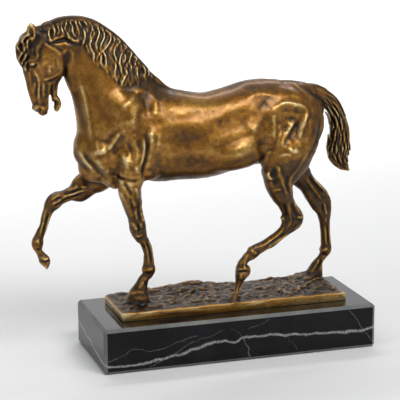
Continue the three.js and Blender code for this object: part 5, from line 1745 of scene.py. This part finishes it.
@dataclass
class Casting:
    """The whole bronze: horse, toe post and ground plate in one."""

    grain: float = 0.75
    low: tuple[float, float, float] = (-191.0, -42.0, 38.0)
    high: tuple[float, float, float] = (124.0, 42.0, 307.0)
    most_triangles: int = 190_000
    rest_of_wear: float = 0.13
    # Places where the patina is made lighter or darker: x and z, half length and half height, amount. The broad ones
    # lighten or darken whole regions of the casting.
    wear_and_painted_light_places: Sequence[tuple[tuple[float, float], tuple[float, float], float]] = (
        ((-20, 200), (75, 42), 0.85),
        ((-104, 190), (40, 48), 1.1),
        ((54, 200), (42, 42), 0.75),
        ((-124, 256), (18, 24), 0.75),
        ((108, 190), (18, 44), -0.24),
        ((-112, 228), (24, 34), 0.6),
        ((-155, 266), (13, 15), 0.75),
        ((-167, 245), (12, 24), 0.45),
        ((-110, 275), (48, 26), 0.12),
        # The small ones that follow are painted light. Raised amounts are painted highlights on the belly's swelling,
        # the upper barrel, the top of the shoulder blade and the point of the shoulder. Sunk amounts are painted shade
        # behind the arm's ribs, in the thigh's hollow and the flank's fold, at the back of the thigh, under the stifle
        # and the belly, behind the elbow, in the fold before the thigh and low on the barrel.
        ((-14, 193), (14, 8), 0.35),
        ((-36, 222), (34, 8), 0.25),
        ((-46, 199), (17, 9), -0.3),
        ((-91, 226), (14, 12), 0.3),
        ((-117, 191), (8, 5), 0.3),
        ((48, 207), (9, 8), -0.45),
        ((30, 190), (6, 15), -0.35),
        ((75, 190), (7, 27), -0.5),
        ((50, 165), (22, 9), -0.4),
        ((17, 178), (9, 7), -0.5),
        ((-73, 176), (6, 10), -0.5),
        ((31, 224), (7, 6), -0.3),
        ((-48, 181), (17, 6), -0.25),
    )
    rough_places: Sequence[tuple[tuple[float, float], tuple[float, float], float]] = (
        ((-180, 274), (8, 16), 1.0),
        ((-95, 180), (32, 26), 0.85),
        ((-84, 230), (20, 12), 0.6),
        ((-101, 207), (18, 20), 0.45),
        ((-40, 200), (60, 26), 0.2),
        ((52, 196), (36, 34), 0.6),
        ((-163, 250), (16, 34), 0.6),
    )
    body: Body = field(default_factory=Body)
    head: Head = field(default_factory=Head)
    legs: Legs = field(default_factory=Legs)
    tail: Tail = field(default_factory=Tail)
    mane: Mane = field(default_factory=Mane)
    earth: Earth = field(default_factory=Earth)

    def model(self) -> Clay:
        """Models the casting.

        Returns:
            The clay.
        """
        clay = Clay(self.low, self.high, self.grain * (1))
        self.body.model(clay)
        self.head.model(clay)
        self.legs.model(clay)
        self.tail.model(clay)
        self.mane.model(clay)
        near, far = Relief(clay), Relief(clay)
        for relief in (near, far):
            self.body.carve(relief)
            self.head.carve(relief)
            self.tail.comb(relief)
        self.legs.carve(near, far)
        self.mane.carve(near, far)
        clay.press(near, Side.NEAR)
        clay.press(far, Side.FAR)
        self.knead(clay)
        self.earth.model(clay, 2.0)
        return clay

    def knead(self, clay: Clay) -> None:
        """Leaves the marks of the modeller's fingers, strongest on the shoulder, thigh and legs.

        Args:
            clay: The clay.
        """
        strength = Relief(clay)
        strength.heights += 0.3 + 0.4 * np.clip((165 - strength.z) / 12, 0, 1)
        for centre, size, height in self.rough_places:
            strength.patch(centre, size, height)
        marks = 0.55 * clay.dents(9.0, 1) + 0.42 * clay.dents(4.2, 2) + 0.2 * clay.dents(2.2, 3)
        clay.field -= marks * np.minimum(strength.heights, 1.0)[:, None, :]

    def build(self) -> bpy.types.Object:
        """Makes the piece and dresses it.

        Returns:
            The piece.
        """
        clay = self.model()
        piece = new_piece("horse_casting", *clay.surface())
        triangles = 2 * len(piece.data.polygons)
        if triangles > self.most_triangles:
            thin = piece.modifiers.new("thin", "DECIMATE")
            thin.ratio = self.most_triangles / triangles
            apply_modifiers(piece)
        self.store_relief(clay, piece.data)
        piece.data.shade_smooth()
        piece.data.materials.append(BronzePatina().material())
        return piece

    def store_relief(self, clay: Clay, mesh: bpy.types.Mesh) -> None:
        """Keeps how proud each point is, and a map of wear with painted highlights and painted shade, for the patina to
        follow.

        Args:
            clay: The clay that the mesh was made from.
            mesh: The mesh.
        """
        places = np.empty(3 * len(mesh.vertices), np.float32)
        mesh.vertices.foreach_get("co", places)
        points = places.reshape(-1, 3).astype(float) / MM
        wear_and_painted_light = Relief(clay)
        # Even base that is a little darker towards the bottom over the earth's top, and lighter on the plate's side
        # below 46.4 mm, with a bright line along the plate's top edge at 46.2 mm.
        wear_and_painted_light.heights += self.rest_of_wear - 0.08 * np.clip((56 - wear_and_painted_light.z) / 4, 0, 1)
        wear_and_painted_light.heights += 0.12 * (wear_and_painted_light.z < 46.4) + 0.8 * np.exp(-(((wear_and_painted_light.z - 46.2) / 0.8) ** 2))
        # Then the listed patches, which paint highlights and shade as well as lightening or darkening whole regions.
        for centre, size, amount in self.wear_and_painted_light_places:
            wear_and_painted_light.patch(centre, size, amount)
        place = ((points[:, [0, 2]] - clay.low[[0, 2]]) / clay.grain).round().astype(int)
        place = np.clip(place, 0, np.array(wear_and_painted_light.heights.shape) - 1)
        layers = {"wear_and_painted_light": np.minimum(wear_and_painted_light.heights, 1.0)[place[:, 0], place[:, 1]]}
        for name, radius in (("fine_relief", 1.5), ("broad_relief", 3.4)):
            layers[name] = clay.relief(points, radius)
        for name, values in layers.items():
            layer = mesh.attributes.new(name, "FLOAT", "POINT")
            layer.data.foreach_set("value", values.astype(np.float32))


@dataclass
class Plinth:
    """The marble block, with wide bevels."""

    length: float = 250.0
    width: float = 100.0
    height: float = 40.0
    bevel: float = 2.4
    arris: float = 0.35

    def build(self) -> bpy.types.Object:
        """Makes the piece and dresses it.

        Returns:
            The piece.
        """
        x, y, z = self.length / 2, self.width / 2, self.height
        corners = np.array([(a, b, c) for a in (-x, x) for b in (-y, y) for c in (0, z)])
        faces = np.array([(0, 1, 3, 2), (4, 6, 7, 5), (0, 4, 5, 1), (2, 3, 7, 6), (0, 2, 6, 4), (1, 5, 7, 3)])
        piece = new_piece("plinth_block", corners, faces)
        for name, width, segments in (("bevel", self.bevel, 1), ("arris", self.arris, 2)):
            cut = piece.modifiers.new(name, "BEVEL")
            cut.width = width * MM
            cut.segments = segments
            cut.limit_method = "ANGLE"
            cut.angle_limit = math.radians(30)
        apply_modifiers(piece)
        marble = BlackMarble()
        for honed in (False, True):
            piece.data.materials.append(marble.material(honed))
        for face in piece.data.polygons:
            face.material_index = int(max(abs(part) for part in face.normal) < 0.99)
            face.use_smooth = False
        return piece


# Studio


@dataclass
class Studio:
    """Background paper, lamps and camera."""

    eye: tuple[float, float, float] = (-433.874, -1309.034, 452.963)
    azimuth: float = -17.4159
    elevation: float = 13.0256
    roll: float = -0.3829
    lens: float = 143.708

    def build(self) -> None:
        """Sets up the studio."""
        self.build_paper()
        self.build_lamps()
        self.build_camera()

    def build_paper(self) -> None:
        """The floor, curving up into the backdrop."""
        profile = [(-2.2, 0.0), (1.2, 0.0)]
        profile += [(1.2 + 0.8 * math.sin(a), 0.8 - 0.8 * math.cos(a)) for a in np.radians(np.arange(10, 91, 10))]
        points = np.array([(x, y, z) for y, z in profile for x in (-3.5, 3.5)]) / MM
        faces = np.array([(2 * i, 2 * i + 1, 2 * i + 3, 2 * i + 2) for i in range(len(profile) - 1)])
        paper = new_piece("background_paper", points, faces)
        paper.data.shade_smooth()
        paper.data.materials.append(PaperSweep().material())

    @staticmethod
    def build_lamps() -> None:
        """Soft boxes above and at both sides, and a dim room."""
        for name, place, size, power in (
            ("box_above", (0.25, -0.95, 1.3), (0.8, 0.6), 14.0),
            ("box_left", (-1.6, -0.7, 1.2), (0.5, 1.0), 6.0),
            ("box_floor", (-0.05, -1.1, 0.6), (1.1, 0.3), 2.2),
            ("box_right", (1.35, -1.3, 0.9), (0.5, 0.9), 4.5),
            ("box_backdrop", (0.2, 1.2, 1.7), (2.4, 0.6), 52.0),
        ):
            lamp = bpy.data.lights.new(name, "AREA")
            lamp.shape, lamp.size, lamp.size_y, lamp.energy = "RECTANGLE", size[0], size[1], power
            holder = bpy.data.objects.new(name, lamp)
            holder.location = place
            targets = {"box_backdrop": (0, 2.2, 0.2), "box_floor": (-0.03, -0.7, 0)}
            aim = Vector(targets.get(name, (-0.03, 0, 0.16))) - Vector(place)
            if name == "box_floor":
                lamp.spread = math.radians(50)
            if name == "box_left":
                lamp.color = (0.93, 0.95, 1.0)
            holder.rotation_euler = aim.to_track_quat("-Z", "Y").to_euler()
            bpy.context.collection.objects.link(holder)
        world = bpy.data.worlds.new("room")
        world.use_nodes = True
        light = world.node_tree.nodes["Background"]
        light.inputs["Color"].default_value = linear("#f2f4f8")
        light.inputs["Strength"].default_value = 0.36
        bpy.context.scene.view_settings.view_transform = "Standard"
        bpy.context.scene.world = world

    def build_camera(self) -> None:
        """The camera, where the photograph was taken from."""
        azimuth, elevation, roll = (math.radians(a) for a in (self.azimuth, self.elevation, self.roll))
        back = Vector((
            math.sin(azimuth) * math.cos(elevation), -math.cos(azimuth) * math.cos(elevation), math.sin(elevation)
        ))
        right = (-back).cross(Vector((0, 0, 1))).normalized()
        up = right.cross(-back)
        tilted_right = right * math.cos(roll) + up * math.sin(roll)
        tilted_up = up * math.cos(roll) - right * math.sin(roll)
        turn = Matrix((tilted_right, tilted_up, back)).transposed().to_4x4()
        data = bpy.data.cameras.new("camera")
        data.lens, data.sensor_width = self.lens, 36.0
        data.clip_start, data.clip_end = 0.05, 20.0
        camera = bpy.data.objects.new("camera", data)
        camera.matrix_world = Matrix.Translation(Vector(self.eye) * MM) @ turn
        bpy.context.collection.objects.link(camera)
        bpy.context.scene.camera = camera


def main() -> None:
    """Builds the pieces in order and reports each."""
    logging.basicConfig(level=logging.INFO, format="%(name)s: %(message)s")
    pieces = ((Plinth(), "marble_plinth", "black_marble"), (Casting(), "bronze_horse", "bronze"))
    for maker, node, slot in pieces:
        piece = maker.build()
        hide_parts(node)
        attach(piece, "root")
        LOG.info("%s: %d faces", piece.name, len(piece.data.polygons))
    Studio().build()


if __name__ == "__main__":
    main()
